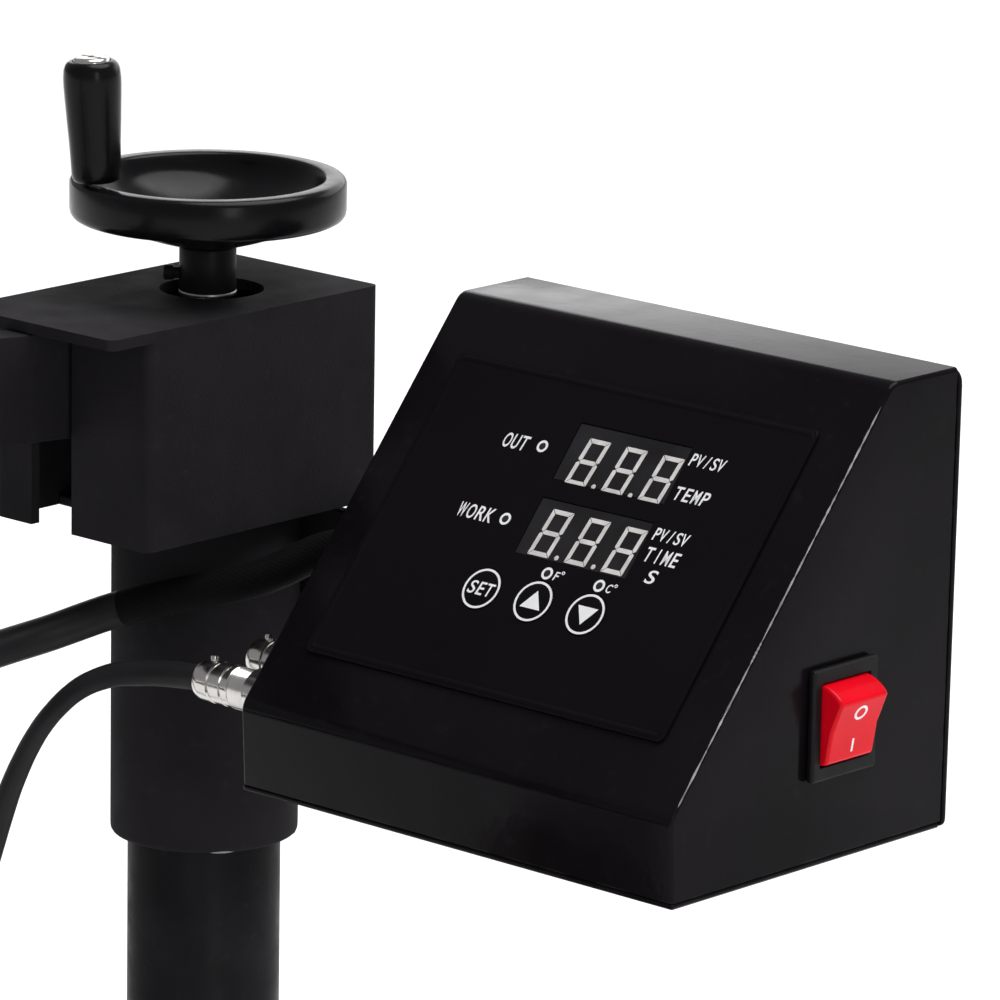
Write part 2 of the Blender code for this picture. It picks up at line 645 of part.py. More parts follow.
# ---------------------------------------------------------------- control box
def box_outline(inset):
    """Side outline in (y, z), shrunk by the sheet's thickness on the faces that are closed."""
    slope = math.atan2(PANEL_TOP[1] - LIP[1], PANEL_TOP[0] - LIP[0])
    lean = inset * math.tan((math.pi / 2 - slope) / 2)
    return [(BOX_FRONT + inset, BOX_BOTTOM + 0.0019), (LIP[0] + inset, LIP[1] - lean),
            (PANEL_TOP[0] + inset * math.tan(slope / 2), PANEL_TOP[1] - inset),
            (BOX_BACK_TOP - 0.0016, PANEL_TOP[1] - inset),
            (BOX_BACK_BOTTOM - 0.0016, BOX_BOTTOM + 0.0019)]


def make_control_box(panel):
    middle = (BOX_LEFT + BOX_RIGHT) / 2
    width = BOX_RIGHT - BOX_LEFT
    outer = box_outline(0.0)
    shell = plate("control_shell", [outer], width, ENAMEL, (middle, 0.0, 0.0), SIDE)
    inner = box_outline(BOX_SHEET)
    # The hollow runs out through the bottom and the back, which have covers of their own.
    inner[0] = (inner[0][0], BOX_BOTTOM - 0.010)
    inner[3] = (BOX_BACK_TOP + 0.010, inner[3][1])
    inner[4] = (BOX_BACK_TOP + 0.010, BOX_BOTTOM - 0.010)
    cut(shell, solid_mesh(outline_curve([inner], width - 2 * BOX_SHEET)), (middle, 0.0, 0.0), SIDE)
    cut_box(shell, (BOX_RIGHT - 0.010, ROCKER_Y[0] + 0.0022, ROCKER_Z[0] + 0.0022),
            (BOX_RIGHT + 0.010, ROCKER_Y[1] - 0.0022, ROCKER_Z[1] - 0.0022))

    box("control_bottom_plate", (BOX_LEFT, BOX_FRONT, BOX_BOTTOM),
        (BOX_RIGHT, BOX_BACK_BOTTOM - 0.0016 - GAP, BOX_BOTTOM + 0.0016), ENAMEL)
    back = [(BOX_BACK_BOTTOM - 0.0013, BOX_BOTTOM), (BOX_BACK_BOTTOM, BOX_BOTTOM),
            (BOX_BACK_TOP, PANEL_TOP[1] + 0.0006), (BOX_BACK_TOP - 0.0013, PANEL_TOP[1] + 0.0006)]
    plate("control_rear_cover", [back], width + 0.0012, ENAMEL, (middle, 0.0, 0.0), SIDE)

    make_panel(panel)
    make_rocker()
    make_box_inside()
    make_connectors()


def make_panel(panel):
    """The panel frame has X along the machine's X, Y up the slope and Z out of the panel."""
    low_x, high_x, low_s, high_s = OVERLAY
    outline = [(low_x, low_s), (high_x, low_s), (high_x, high_s), (low_x, high_s)]
    holes = [[(a - GAP, c - GAP), (b + GAP, c - GAP), (b + GAP, d + GAP), (a - GAP, d + GAP)]
             for a, b, c, d in DISPLAYS.values()]
    holes += [circle(KEY_RADIUS + GAP, 28, (x, KEY_SLOPE)) for x in KEYS.values()]
    plate("panel_overlay", [outline, *holes], OVERLAY_THICKNESS, OVERLAY_FILM,
          (0.0, 0.0, GAP + OVERLAY_THICKNESS / 2), FLAT, panel)
    for name, (a, b, c, d) in DISPLAYS.items():
        box(name, (a, c, GAP), (b, d, GAP + OVERLAY_THICKNESS - 0.0002), WINDOW, 0.0, panel)
    for name, x in KEYS.items():
        rod(name, KEY_RADIUS, 0.0011, KEY_FILM, (x, KEY_SLOPE, 0.0008 + 0.00055), FLAT, 28,
            parent=panel)


def make_rocker():
    low_y, high_y = ROCKER_Y
    low_z, high_z = ROCKER_Z
    bezel = box("rocker_bezel", (BOX_RIGHT + GAP, low_y, low_z),
                (BOX_RIGHT + GAP + ROCKER_BEZEL, high_y, high_z), PLASTIC, 0.0006)
    cut_box(bezel, (BOX_RIGHT - 0.010, low_y + 0.0030, low_z + 0.0038),
            (BOX_RIGHT + 0.010, high_y - 0.0030, high_z - 0.0038))
    # Button outline in (x, z) about its pivot, its ends on one circle so that it can rock in
    # the bezel: the upper half stands out, the lower half is pressed in.
    reach, rest, corner, back, crease = 0.0107, -16.0, 54.0, 122.0, 0.0054
    button = (arc(reach, rest + corner, rest + back, 8) + arc(reach, rest - back, rest - corner, 8)
              + [(crease * math.cos(math.radians(rest)), crease * math.sin(math.radians(rest)))])
    plate("rocker_button", [button], high_y - low_y - 0.0068, RED_PLASTIC,
          (BOX_RIGHT + GAP + ROCKER_BEZEL - 0.0020, (low_y + high_y) / 2, (low_z + high_z) / 2),
          FRONT)


def make_box_inside():
    floor = BOX_BOTTOM + 0.0016
    box("circuit_board", (0.110, -0.030, floor + 0.012), (0.200, 0.030, floor + 0.0136), BOARD)


def make_connectors():
    """Round plug connectors and the lead gland on the left wall, turned along -X."""
    wall = BOX_LEFT - GAP
    facing = (0.0, -math.pi / 2, 0.0)
    barrel = [(0.0034, 0.0318), (0.0044, 0.0318), (0.0053, 0.0303), (0.0056, 0.0288),
              (0.0056, 0.0232), (0.0053, 0.0229), (0.0053, 0.0223), (0.0057, 0.0219),
              (0.0057, 0.0080), (0.0086, 0.0035), (0.0086, 0.0), (0.0034, 0.0)]
    for name, y, z in (("connector_front", -0.0511, 0.3210), ("connector_rear", -0.0307, 0.3231)):
        turned(name, barrel, NICKEL, (wall, y, z), facing, sides=24, ring=True)
    turned("lead_gland",
           [(0.0062, 0.0200), (0.0080, 0.0190), (0.0100, 0.0080), (0.0125, 0.0080),
            (0.0125, 0.0), (0.0062, 0.0)],
           PLASTIC, (wall, -0.0050, 0.3510), facing, sides=24, ring=True)


# ---------------------------------------------------------------- leads
HEATER_LEAD = [
    (0.0600, -0.0050, 0.3510), (0.0520, -0.0090, 0.3485), (0.0440, -0.0170, 0.3430),
    (0.0370, -0.0225, 0.3397), (0.0250, -0.0285, 0.3358), (0.0120, -0.0345, 0.3314),
    (0.0020, -0.0390, 0.3277), (-0.0080, -0.0520, 0.3222), (-0.0140, -0.0680, 0.3188),
    (-0.0190, -0.0950, 0.3140), (-0.0225, -0.1250, 0.3060), (-0.0240, -0.1550, 0.2965),
    (-0.0240, -0.1800, 0.2920), (-0.0233, -0.2040, 0.2910),
]
# The mug clamp's lead is in two lengths that meet end to end beside the column: the upper one
# hangs from the head, the lower one lies on the bench and rises to the clamp.
MUG_LEAD_UPPER = [
    (0.0494, -0.0511, 0.3208), (0.0382, -0.0517, 0.3198), (0.0290, -0.0530, 0.3185),
    (0.0200, -0.0555, 0.3166), (0.0124, -0.0600, 0.3124), (0.0060, -0.0638, 0.3052),
    (0.0008, -0.0667, 0.2963), (-0.0041, -0.0695, 0.2838), (-0.0082, -0.0719, 0.2693),
    (-0.0114, -0.0737, 0.2563), (-0.0141, -0.0752, 0.2400), (-0.0166, -0.0768, 0.2200),
]
MUG_LEAD_LOWER = [
    (-0.0167, -0.0769, 0.2196), (-0.0190, -0.0785, 0.1980), (-0.0240, -0.0820, 0.1600),
    (-0.0320, -0.0885, 0.1200), (-0.0430, -0.1020, 0.0820), (-0.0540, -0.1220, 0.0480),
    (-0.0640, -0.1500, 0.0220), (-0.0760, -0.1850, 0.0060), (-0.0900, -0.2250, 0.0036),
    (-0.1060, -0.2620, 0.0042), (-0.1210, -0.2900, 0.0200), (-0.1300, -0.3120, 0.0560),
    (-0.1290, -0.3310, 0.0900), (-0.1170, -0.3450, 0.1110), (-0.0990, -0.3498, 0.1160),
    (-0.0812, -0.3500, 0.1160),
]
HEATER_LEAD_DIAMETER = 0.0100
MUG_LEAD_DIAMETER = 0.0064


def make_leads():
    lead("heater_lead", HEATER_LEAD, HEATER_LEAD_DIAMETER, 30, LEAD_JACKET)
    lead("mug_lead_upper", MUG_LEAD_UPPER, MUG_LEAD_DIAMETER, 22, LEAD_JACKET)
    lead("mug_lead_lower", MUG_LEAD_LOWER, MUG_LEAD_DIAMETER, 44, LEAD_JACKET)


# ---------------------------------------------------------------- assembly
def main():
    tilt = math.radians(-ARM_TILT)
    arm_frame = frame_at("arm_frame", ARM_PIVOT, (tilt, 0.0, 0.0))
    pin = (Matrix.Translation(ARM_PIVOT) @ Matrix.Rotation(tilt, 4, "X")
           @ Vector((0.0, -HANGER, -0.004)))
    platen_frame = frame_at("platen_frame", tuple(pin))
    slope = math.atan2(PANEL_TOP[1] - LIP[1], PANEL_TOP[0] - LIP[0])
    panel_frame = frame_at("panel_frame", (0.0, *LIP), (slope, 0.0, 0.0))

    make_base()
    make_column()
    make_mug_clamp(make_pedestal())
    make_sleeve()
    make_head_box()
    make_return_spring()
    make_bracket()
    make_arm(arm_frame)
    make_platen(platen_frame, pin.z - PLATEN_BOTTOM)
    make_wheel()
    make_block()
    make_control_box(panel_frame)
    make_leads()


main()
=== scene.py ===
"""Swing-away combo heat press: looks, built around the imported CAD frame.

Metres, in the frame's own axes: +Z up, the column's axis at the origin, the arm along -Y and the
control box at +X.
"""

import json
import math
from contextlib import contextmanager

import bmesh
import bpy
from mathutils import Matrix, Vector


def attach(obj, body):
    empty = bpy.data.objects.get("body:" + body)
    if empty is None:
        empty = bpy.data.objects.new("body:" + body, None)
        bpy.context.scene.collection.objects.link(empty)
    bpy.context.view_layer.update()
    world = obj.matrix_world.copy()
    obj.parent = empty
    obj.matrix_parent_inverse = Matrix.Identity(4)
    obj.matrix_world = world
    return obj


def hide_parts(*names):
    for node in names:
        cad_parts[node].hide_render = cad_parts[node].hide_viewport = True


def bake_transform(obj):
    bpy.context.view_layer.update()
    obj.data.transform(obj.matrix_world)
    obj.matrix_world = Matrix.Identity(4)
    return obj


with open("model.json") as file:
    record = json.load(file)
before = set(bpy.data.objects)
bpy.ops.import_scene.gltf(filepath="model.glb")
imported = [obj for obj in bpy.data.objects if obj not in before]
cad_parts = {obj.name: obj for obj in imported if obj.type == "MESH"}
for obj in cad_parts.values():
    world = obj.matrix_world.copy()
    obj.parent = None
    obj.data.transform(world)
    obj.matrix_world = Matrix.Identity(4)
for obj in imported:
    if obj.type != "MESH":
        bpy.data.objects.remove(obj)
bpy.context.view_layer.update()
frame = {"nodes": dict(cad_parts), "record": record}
nodes = frame["nodes"]
body_of_node = {node: body for body, names in frame["record"]["behaviour"]["bodies"].items()
                for node in names}
slot_of_node = {part["node"]: part["material_slot"] for part in frame["record"]["subparts"]}

# ---------------------------------------------------------------- camera, lights, floor
LENS_MM = 263.5
AZIMUTH, ELEVATION, ROLL = (math.radians(a) for a in (42.48, 13.94, 0.95))
# The control box's lowest front right corner, and where it lies as the camera sees it.
BOX_CORNER = Vector((0.2319, -0.0681, 0.3000))
CORNER_IN_VIEW = Vector((0.04275, -0.10228, 1.820))
FLOOR_HALF = 15.0
LOOK_AT = Vector((0.05, -0.10, 0.33))


def view_axes():
    back = Vector((math.sin(AZIMUTH) * math.cos(ELEVATION),
                   -math.cos(AZIMUTH) * math.cos(ELEVATION), math.sin(ELEVATION)))
    level = (-back).cross(Vector((0, 0, 1))).normalized()
    upright = level.cross(-back)
    right = math.cos(ROLL) * level + math.sin(ROLL) * upright
    up = -math.sin(ROLL) * level + math.cos(ROLL) * upright
    return right, up, back


def make_camera():
    right, up, back = view_axes()
    across, above, away = CORNER_IN_VIEW
    place = BOX_CORNER - across * right - above * up + away * back
    data = bpy.data.cameras.new("camera")
    data.lens = LENS_MM
    data.sensor_width = 36.0
    data.clip_start = 0.05
    data.clip_end = 60.0
    camera = bpy.data.objects.new("camera", data)
    camera.matrix_world = Matrix((
        (right.x, up.x, back.x, place.x), (right.y, up.y, back.y, place.y),
        (right.z, up.z, back.z, place.z), (0, 0, 0, 1)))
    bpy.context.scene.collection.objects.link(camera)
    bpy.context.scene.camera = camera


def area_light(name, place, size, power, target=LOOK_AT):
    data = bpy.data.lights.new(name, "AREA")
    data.shape = "RECTANGLE"
    data.size, data.size_y = size
    data.energy = power
    lamp = bpy.data.objects.new(name, data)
    lamp.location = place
    aim = (Vector(target) - Vector(place)).to_track_quat("-Z", "Y")
    lamp.rotation_euler = aim.to_euler()
    bpy.context.scene.collection.objects.link(lamp)


def make_lights():
    world = bpy.data.worlds.new("world")
    world.use_nodes = True
    background = world.node_tree.nodes["Background"]
    background.inputs["Color"].default_value = (0.97, 0.96, 1.0, 1.0)
    background.inputs["Strength"].default_value = 0.30
    bpy.context.scene.world = world
    sun = bpy.data.lights.new("sun", "SUN")
    sun.energy = 3.1
    sun.angle = math.radians(55)
    lamp = bpy.data.objects.new("sun", sun)
    lamp.rotation_euler = (math.radians(-14), math.radians(12), 0.0)
    bpy.context.scene.collection.objects.link(lamp)
    # A broad softbox behind the press, low enough for its top faces to mirror it.
    area_light("softbox_back", (-0.55, 1.70, 0.97), (3.0, 0.9), 13.0)
    area_light("softbox_right", (1.9, -0.9, 0.9), (0.5, 0.9), 4.0)


# ---------------------------------------------------------------- materials
def link(tree, source, target):
    tree.links.new(source, target)


def feed(tree, value, socket):
    """A number or a colour is set on the socket, and anything else is linked to it."""
    if isinstance(value, float):
        socket.default_value = value
    elif isinstance(value, tuple):
        socket.default_value = (*value, 1.0)
    else:
        link(tree, value, socket)


def noise(tree, scale, detail=3.0):
    place = tree.nodes.get("place") or tree.nodes.new("ShaderNodeTexCoord")
    place.name = "place"
    texture = tree.nodes.new("ShaderNodeTexNoise")
    texture.inputs["Scale"].default_value = scale
    texture.inputs["Detail"].default_value = detail
    link(tree, place.outputs["Object"], texture.inputs["Vector"])
    return texture.outputs["Fac"]


def remap(tree, value, low, high, start=0.3, end=0.7):
    mapped = tree.nodes.new("ShaderNodeMapRange")
    mapped.inputs["From Min"].default_value = start
    mapped.inputs["From Max"].default_value = end
    mapped.inputs["To Min"].default_value = low
    mapped.inputs["To Max"].default_value = high
    link(tree, value, mapped.inputs["Value"])
    return mapped.outputs["Result"]


def math_node(tree, operation, first, second):
    node = tree.nodes.new("ShaderNodeMath")
    node.operation = operation
    feed(tree, first, node.inputs[0])
    feed(tree, second, node.inputs[1])
    return node.outputs["Value"]


def mix_color(tree, amount, first, second):
    mixed = tree.nodes.new("ShaderNodeMix")
    mixed.data_type = "RGBA"
    for name, value in (("Factor", amount), ("A", first), ("B", second)):
        feed(tree, value, mixed.inputs[name])
    return mixed.outputs["Result"]


def add_bump(tree, height, depth):
    bump = tree.nodes.new("ShaderNodeBump")
    bump.inputs["Distance"].default_value = depth
    link(tree, height, bump.inputs["Height"])
    link(tree, bump.outputs["Normal"], tree.nodes["Principled BSDF"].inputs["Normal"])


def edge_mask(tree, radius, patchy):
    """1 on edges and corners within the radius, broken up by noise, and 0 on flat ground."""
    bevel = tree.nodes.new("ShaderNodeBevel")
    bevel.samples = 4
    bevel.inputs["Radius"].default_value = radius
    ground = tree.nodes.new("ShaderNodeNewGeometry")
    dot = tree.nodes.new("ShaderNodeVectorMath")
    dot.operation = "DOT_PRODUCT"
    link(tree, bevel.outputs["Normal"], dot.inputs[0])
    link(tree, ground.outputs["Normal"], dot.inputs[1])
    edge = remap(tree, dot.outputs["Value"], 1.0, 0.0, 0.86, 0.98)
    patches = remap(tree, noise(tree, patchy, 5.0), 0.0, 1.0, 0.48, 0.62)
    return math_node(tree, "MULTIPLY", edge, patches)


def finish(name, color, roughness, metallic=0.0, mottle=0.15, clouds=35.0, rough_spread=0.06,
           grain=1600.0, depth=0.00002, specular=0.5, wear=None, wear_radius=0.0006, dust=None):
    """A procedural finish: clouded colour and roughness, fine bumps, and wear on its edges."""
    made = bpy.data.materials.new(name)
    made.use_nodes = True
    tree = made.node_tree
    shader = tree.nodes["Principled BSDF"]
    shader.inputs["Metallic"].default_value = metallic
    shader.inputs["Specular IOR Level"].default_value = specular
    cloud = noise(tree, clouds, 4.0)
    dark = tuple(c * (1 - mottle) for c in color)
    light = tuple(c * (1 + mottle) for c in color)
    tint = mix_color(tree, remap(tree, cloud, 0.0, 1.0), dark, light)
    rough = remap(tree, noise(tree, clouds * 2.7, 5.0), roughness - rough_spread,
                  roughness + rough_spread)
    if dust:
        specks = remap(tree, noise(tree, 260.0, 6.0), 0.0, 0.5, 0.60, 0.76)
        tint = mix_color(tree, specks, tint, dust)
    if wear:
        tint = mix_color(tree, edge_mask(tree, wear_radius, 130.0), tint, wear)
    link(tree, tint, shader.inputs["Base Color"])
    link(tree, rough, shader.inputs["Roughness"])
    add_bump(tree, noise(tree, grain, 2.0), depth)
    return made


def woven(name, color, pitch, depth, roughness):
    """A braided sleeve: two families of slanting strands over the tube's own coordinates."""
    made = finish(name, color, roughness, mottle=0.25, clouds=60.0, specular=0.06)
    tree = made.node_tree
    shader = tree.nodes["Principled BSDF"]
    place = tree.nodes["place"]
    heights = []
    for lean in (45.0, -45.0):
        turn = tree.nodes.new("ShaderNodeMapping")
        turn.inputs["Rotation"].default_value = (0.0, 0.0, math.radians(lean))
        link(tree, place.outputs["UV"], turn.inputs["Vector"])
        strands = tree.nodes.new("ShaderNodeTexWave")
        strands.inputs["Scale"].default_value = 2 * math.pi / (20.0 * pitch)
        link(tree, turn.outputs["Vector"], strands.inputs["Vector"])
        heights.append(strands.outputs["Fac"])
    weave = math_node(tree, "MAXIMUM", *heights)
    old = shader.inputs["Base Color"].links[0].from_socket
    shade = mix_color(tree, weave, tuple(c * 0.35 for c in color), tuple(c * 1.5 for c in color))
    link(tree, mix_color(tree, 0.6, old, shade), shader.inputs["Base Color"])
    add_bump(tree, weave, depth)
    return made


def brushed(name, color, roughness, streak=900.0):
    """Machined metal, its roughness drawn out in fine streaks."""
    made = finish(name, color, roughness, metallic=1.0, mottle=0.08, depth=0.000004)
    tree = made.node_tree
    shader = tree.nodes["Principled BSDF"]
    stretch = tree.nodes.new("ShaderNodeMapping")
    stretch.inputs["Scale"].default_value = (0.08, 1.0, 1.0)
    link(tree, tree.nodes["place"].outputs["Object"], stretch.inputs["Vector"])
    texture = tree.nodes.new("ShaderNodeTexNoise")
    texture.inputs["Scale"].default_value = streak
    link(tree, stretch.outputs["Vector"], texture.inputs["Vector"])
    rough = remap(tree, texture.outputs["Fac"], roughness - 0.08, roughness + 0.12)
    link(tree, rough, shader.inputs["Roughness"])
    return made


POWDER = finish("powder_coat", (0.0200, 0.0182, 0.0202), 0.70, grain=1500.0, depth=0.00014,
                mottle=0.18, wear=(0.030, 0.030, 0.031), dust=(0.030, 0.0285, 0.030),
                specular=0.035)
ENAMEL = finish("gloss_enamel", (0.0060, 0.0048, 0.0060), 0.17, mottle=0.25, clouds=22.0,
                rough_spread=0.06, grain=330.0, depth=0.00003, specular=0.070,
                wear=(0.030, 0.029, 0.030), wear_radius=0.0008, dust=(0.0115, 0.0105, 0.0115))
# Bright metal grey, for the sleeve's rubbed arcs and for the slivers along the box's right fold.
METAL_GREY = finish("metal_grey", (0.34, 0.34, 0.34), 0.42, metallic=0.5, mottle=0.5,
                   clouds=160.0)
BLACKED = finish("blacked_steel", (0.0130, 0.0120, 0.0135), 0.42, mottle=0.25, clouds=55.0,
                 rough_spread=0.10, depth=0.00004, dust=(0.026, 0.025, 0.027), specular=0.09,
                 wear=(0.10, 0.10, 0.10))
PHENOLIC = finish("phenolic", (0.0045, 0.0038, 0.0045), 0.22, mottle=0.2, clouds=70.0,
                  rough_spread=0.05, grain=700.0, depth=0.00001, specular=0.14,
                  dust=(0.006, 0.006, 0.006))
STEEL = brushed("steel", (0.42, 0.42, 0.43), 0.34)
NICKEL = finish("nickel", (0.66, 0.64, 0.61), 0.19, metallic=1.0, mottle=0.06, clouds=120.0,
                rough_spread=0.05, depth=0.00001)
ALUMINIUM = brushed("aluminium", (0.60, 0.61, 0.62), 0.42, 600.0)
FILM = finish("overlay_film", (0.0052, 0.0042, 0.0055), 0.38, mottle=0.12, clouds=18.0,
              grain=2600.0, depth=0.00002, specular=0.05, dust=(0.0060, 0.0055, 0.0060))
WINDOW = finish("window", (0.0200, 0.0190, 0.0205), 0.26, mottle=0.30, clouds=60.0,
                depth=0.00001, specular=0.10)
INK = finish("white_ink", (0.92, 0.92, 0.92), 0.5, mottle=0.06, clouds=300.0, depth=0.00001,
             specular=0.2)
SEGMENT = finish("unlit_segment", (0.70, 0.68, 0.66), 0.42, mottle=0.14, clouds=240.0,
                 depth=0.00001, specular=0.2)
LAMP = finish("unlit_lamp", (0.016, 0.015, 0.015), 0.30, mottle=0.2, clouds=400.0,
              depth=0.00001)
PLASTIC = finish("black_plastic", (0.0065, 0.0062, 0.0068), 0.48, mottle=0.12, clouds=90.0,
                 grain=2200.0, depth=0.00004, specular=0.14)
RED = finish("red_plastic", (0.78, 0.0020, 0.0130), 0.14, mottle=0.08, clouds=90.0,
             depth=0.00001, specular=0.14)
RUBBER = finish("rubber", (0.0090, 0.0088, 0.0092), 0.78, mottle=0.25, clouds=110.0,
                grain=1200.0, depth=0.00012, specular=0.2)
SILICONE = finish("silicone", (0.240, 0.080, 0.040), 0.60, mottle=0.10, clouds=60.0,
                  grain=900.0, depth=0.00010, specular=0.3)
BOARD = finish("circuit_board", (0.020, 0.120, 0.050), 0.45, grain=900.0)
FIBRE = finish("fibre_board", (0.450, 0.420, 0.350), 0.85, grain=600.0, depth=0.0002)
# The braid's dark colour is painted shade: it stands for the head box's shadow on the heater lead
# next to the box.
SHADED_BRAID = woven("lead_braid_painted_shade", (0.0040, 0.0036, 0.0042), 0.0011, 0.00008, 0.66)
JACKET = finish("lead_jacket", (0.0125, 0.0115, 0.0130), 0.46, mottle=0.2, clouds=80.0,
                grain=700.0, depth=0.00004, specular=0.20)
FLOOR = finish("floor", (0.86, 0.86, 0.86), 0.75, mottle=0.010, clouds=1.5, grain=60.0,
               depth=0.0002, specular=0.1)

FINISH_OF_SLOT = {
    "powder_coat": POWDER, "gloss_enamel": ENAMEL, "blacked_steel": BLACKED,
    "phenolic": PHENOLIC, "steel": STEEL, "nickel": NICKEL, "aluminium": ALUMINIUM,
    "overlay_film": FILM, "window": WINDOW, "key_film": FILM, "black_plastic": PLASTIC,
    "red_plastic": RED, "rubber": RUBBER, "silicone": SILICONE, "circuit_board": BOARD,
    "fibre_board": FIBRE, "lead_jacket": JACKET,
}


# ---------------------------------------------------------------- shape helpers
def add(name, mesh, material, body=None, replaces=()):
    obj = bpy.data.objects.new(name, mesh)
    bpy.context.scene.collection.objects.link(obj)
    if material and not mesh.materials:
        mesh.materials.append(material)
    if body:
        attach(obj, body)
    if replaces:
        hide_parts(*replaces)
    return obj


def stand_in(node, mesh, material=None):
    """The mesh in a CAD node's place, on that node's body and with its slot's finish."""
    slot = slot_of_node[node]
    return add(node + "_fine", mesh, material or FINISH_OF_SLOT[slot], body_of_node[node],
               [node])


def mesh_of(name, points, faces):
    mesh = bpy.data.meshes.new(name)
    mesh.from_pydata([tuple(p) for p in points], [], faces)
    mesh.validate()
    return mesh


def evaluated_mesh(obj):
    bpy.context.view_layer.update()
    graph = bpy.context.evaluated_depsgraph_get()
    return bpy.data.meshes.new_from_object(obj.evaluated_get(graph))


def mesh_from_curve(curve):
    holder = bpy.data.objects.new("holder", curve)
    bpy.context.scene.collection.objects.link(holder)
    mesh = evaluated_mesh(holder)
    bpy.data.objects.remove(holder, do_unlink=True)
    mesh.materials.clear()
    return mesh


def bake(obj):
    """Makes the piece's modifiers part of its mesh."""
    mesh = evaluated_mesh(obj)
    obj.modifiers.clear()
    obj.data = mesh


@contextmanager
def edited(mesh):
    """The mesh opened as a bmesh, and written back afterwards."""
    bm = bmesh.new()
    bm.from_mesh(mesh)
    yield bm
    bm.to_mesh(mesh)
    bm.free()


def clean(bm, merge, straight):
    """Joins points closer than `merge`, and faces that meet within `straight` degrees."""
    bmesh.ops.remove_doubles(bm, verts=bm.verts, dist=merge)
    bmesh.ops.dissolve_limit(bm, angle_limit=math.radians(straight), verts=bm.verts,
                             edges=bm.edges)


def soften(obj, width, segments=2, angle=35.0):
    """Rounds the piece's edges and shades it smooth, with its flat faces kept flat."""
    if width:
        bevel = obj.modifiers.new("round", "BEVEL")
        bevel.width = width
        bevel.segments = segments
        bevel.limit_method = "ANGLE"
        bevel.angle_limit = math.radians(angle)
    obj.data.shade_smooth()
    obj.data.set_sharp_from_angle(angle=math.radians(angle + 25))
    weighted = obj.modifiers.new("flat", "WEIGHTED_NORMAL")
    weighted.keep_sharp = True
    return obj


def rounded(node, width=0.0006, segments=2):
    """The CAD node's own shape with rounded edges and smooth round faces."""
    bm = bmesh.new()
    bm.from_mesh(nodes[node].data)
    clean(bm, 0.000002, 0.6)
    bm.verts.index_update()
    points = [v.co.copy() for v in bm.verts]
    faces = [[v.index for v in f.verts] for f in bm.faces]
    bm.free()
    return soften(stand_in(node, mesh_of(node + "_fine", points, faces)), width, segments)


def circle(radius, steps, centre=(0.0, 0.0)):
    angles = [2 * math.pi * k / steps for k in range(steps)]
    return [(centre[0] + radius * math.cos(a), centre[1] + radius * math.sin(a)) for a in angles]


def fillet(corners, steps=4, closed=False):
    """Rounds the corners of an outline; each corner is (u, v, radius)."""
    made = []
    count = len(corners)
    for i, (u, v, radius) in enumerate(corners):
        if radius <= 0 or (not closed and i in (0, count - 1)):
            made.append((u, v))
            continue
        here = Vector((u, v))
        before = (Vector(corners[i - 1][:2]) - here)
        after = (Vector(corners[(i + 1) % count][:2]) - here)
        angle = before.angle(after)
        cut = min(radius / math.tan(angle / 2), 0.45 * before.length, 0.45 * after.length)
        start = here + before.normalized() * cut
        end = here + after.normalized() * cut
        for j in range(steps + 1):
            t = j / steps
            made.append(tuple((1 - t) ** 2 * start + 2 * t * (1 - t) * here + t ** 2 * end))
    return made


def lathe(name, profile, place=(0, 0, 0), turn=(0.0, 0.0, 0.0), steps=64, ring=False):
    """A mesh of the profile (radius, height) turned about Z, then placed."""
    matrix = Matrix.Translation(place) @ Matrix.Rotation(turn[2], 4, "Z") \
        @ Matrix.Rotation(turn[1], 4, "Y") @ Matrix.Rotation(turn[0], 4, "X")
    points, faces, rows = [], [], []
    for radius, height in profile:
        if radius < 1e-7:
            rows.append([len(points)])
            points.append(matrix @ Vector((0.0, 0.0, height)))
            continue
        rows.append(list(range(len(points), len(points) + steps)))
        points += [matrix @ Vector((u, v, height)) for u, v in circle(radius, steps)]
    pairs = list(zip(rows, rows[1:])) + ([(rows[-1], rows[0])] if ring else [])
    for upper, lower in pairs:
        for k in range(steps):
            after = (k + 1) % steps
            if len(upper) == 1:
                faces.append((upper[0], lower[k], lower[after]))
            elif len(lower) == 1:
                faces.append((upper[k], lower[0], upper[after]))
            else:
                faces.append((upper[k], lower[k], lower[after], upper[after]))
    return mesh_of(name, points, faces)


def shade(obj, angle=40.0):
    """Smooth shading, but for edges sharper than the angle."""
    obj.data.shade_smooth()
    obj.data.set_sharp_from_angle(angle=math.radians(angle))
    return obj


def turned(node, profile, angle, steps=64, ring=False, place=(0, 0, 0), turn=(0.0, 0.0, 0.0),
           material=None):
    """A CAD node's piece as a lathe shape."""
    mesh = lathe(node + "_fine", profile, place, turn, steps, ring)
    return shade(stand_in(node, mesh, material), angle)


def flat_mesh(name, outlines, thickness, matrix):
    """Outlines with holes, filled and given a thickness upwards from the local plane."""
    curve = bpy.data.curves.new(name, "CURVE")
    curve.dimensions = "2D"
    curve.fill_mode = "BOTH"
    curve.extrude = thickness / 2
    for outline in outlines:
        spline = curve.splines.new("POLY")
        spline.points.add(len(outline) - 1)
        for point, (u, v) in zip(spline.points, outline):
            point.co = (u, v, 0.0, 1.0)
        spline.use_cyclic_u = True
    mesh = mesh_from_curve(curve)
    with edited(mesh) as bm:
        clean(bm, 0.000001, 0.3)
        bmesh.ops.recalc_face_normals(bm, faces=bm.faces)
        bmesh.ops.transform(bm, matrix=matrix @ Matrix.Translation((0, 0, thickness / 2)),
                            verts=bm.verts)
    mesh.name = name
    return mesh


def loft(name, rings, caps=True):
    """Quads between rings of equal length, with a face over each end."""
    count = len(rings[0])
    points = [p for ring in rings for p in ring]
    faces = [(i * count + j, i * count + (j + 1) % count, (i + 1) * count + (j + 1) % count,
              (i + 1) * count + j) for i in range(len(rings) - 1) for j in range(count)]
    if caps:
        faces.append(tuple(reversed(range(count))))
        faces.append(tuple(range((len(rings) - 1) * count, len(rings) * count)))
    mesh = mesh_of(name, points, faces)
    with edited(mesh) as bm:
        bmesh.ops.recalc_face_normals(bm, faces=bm.faces)
    return mesh


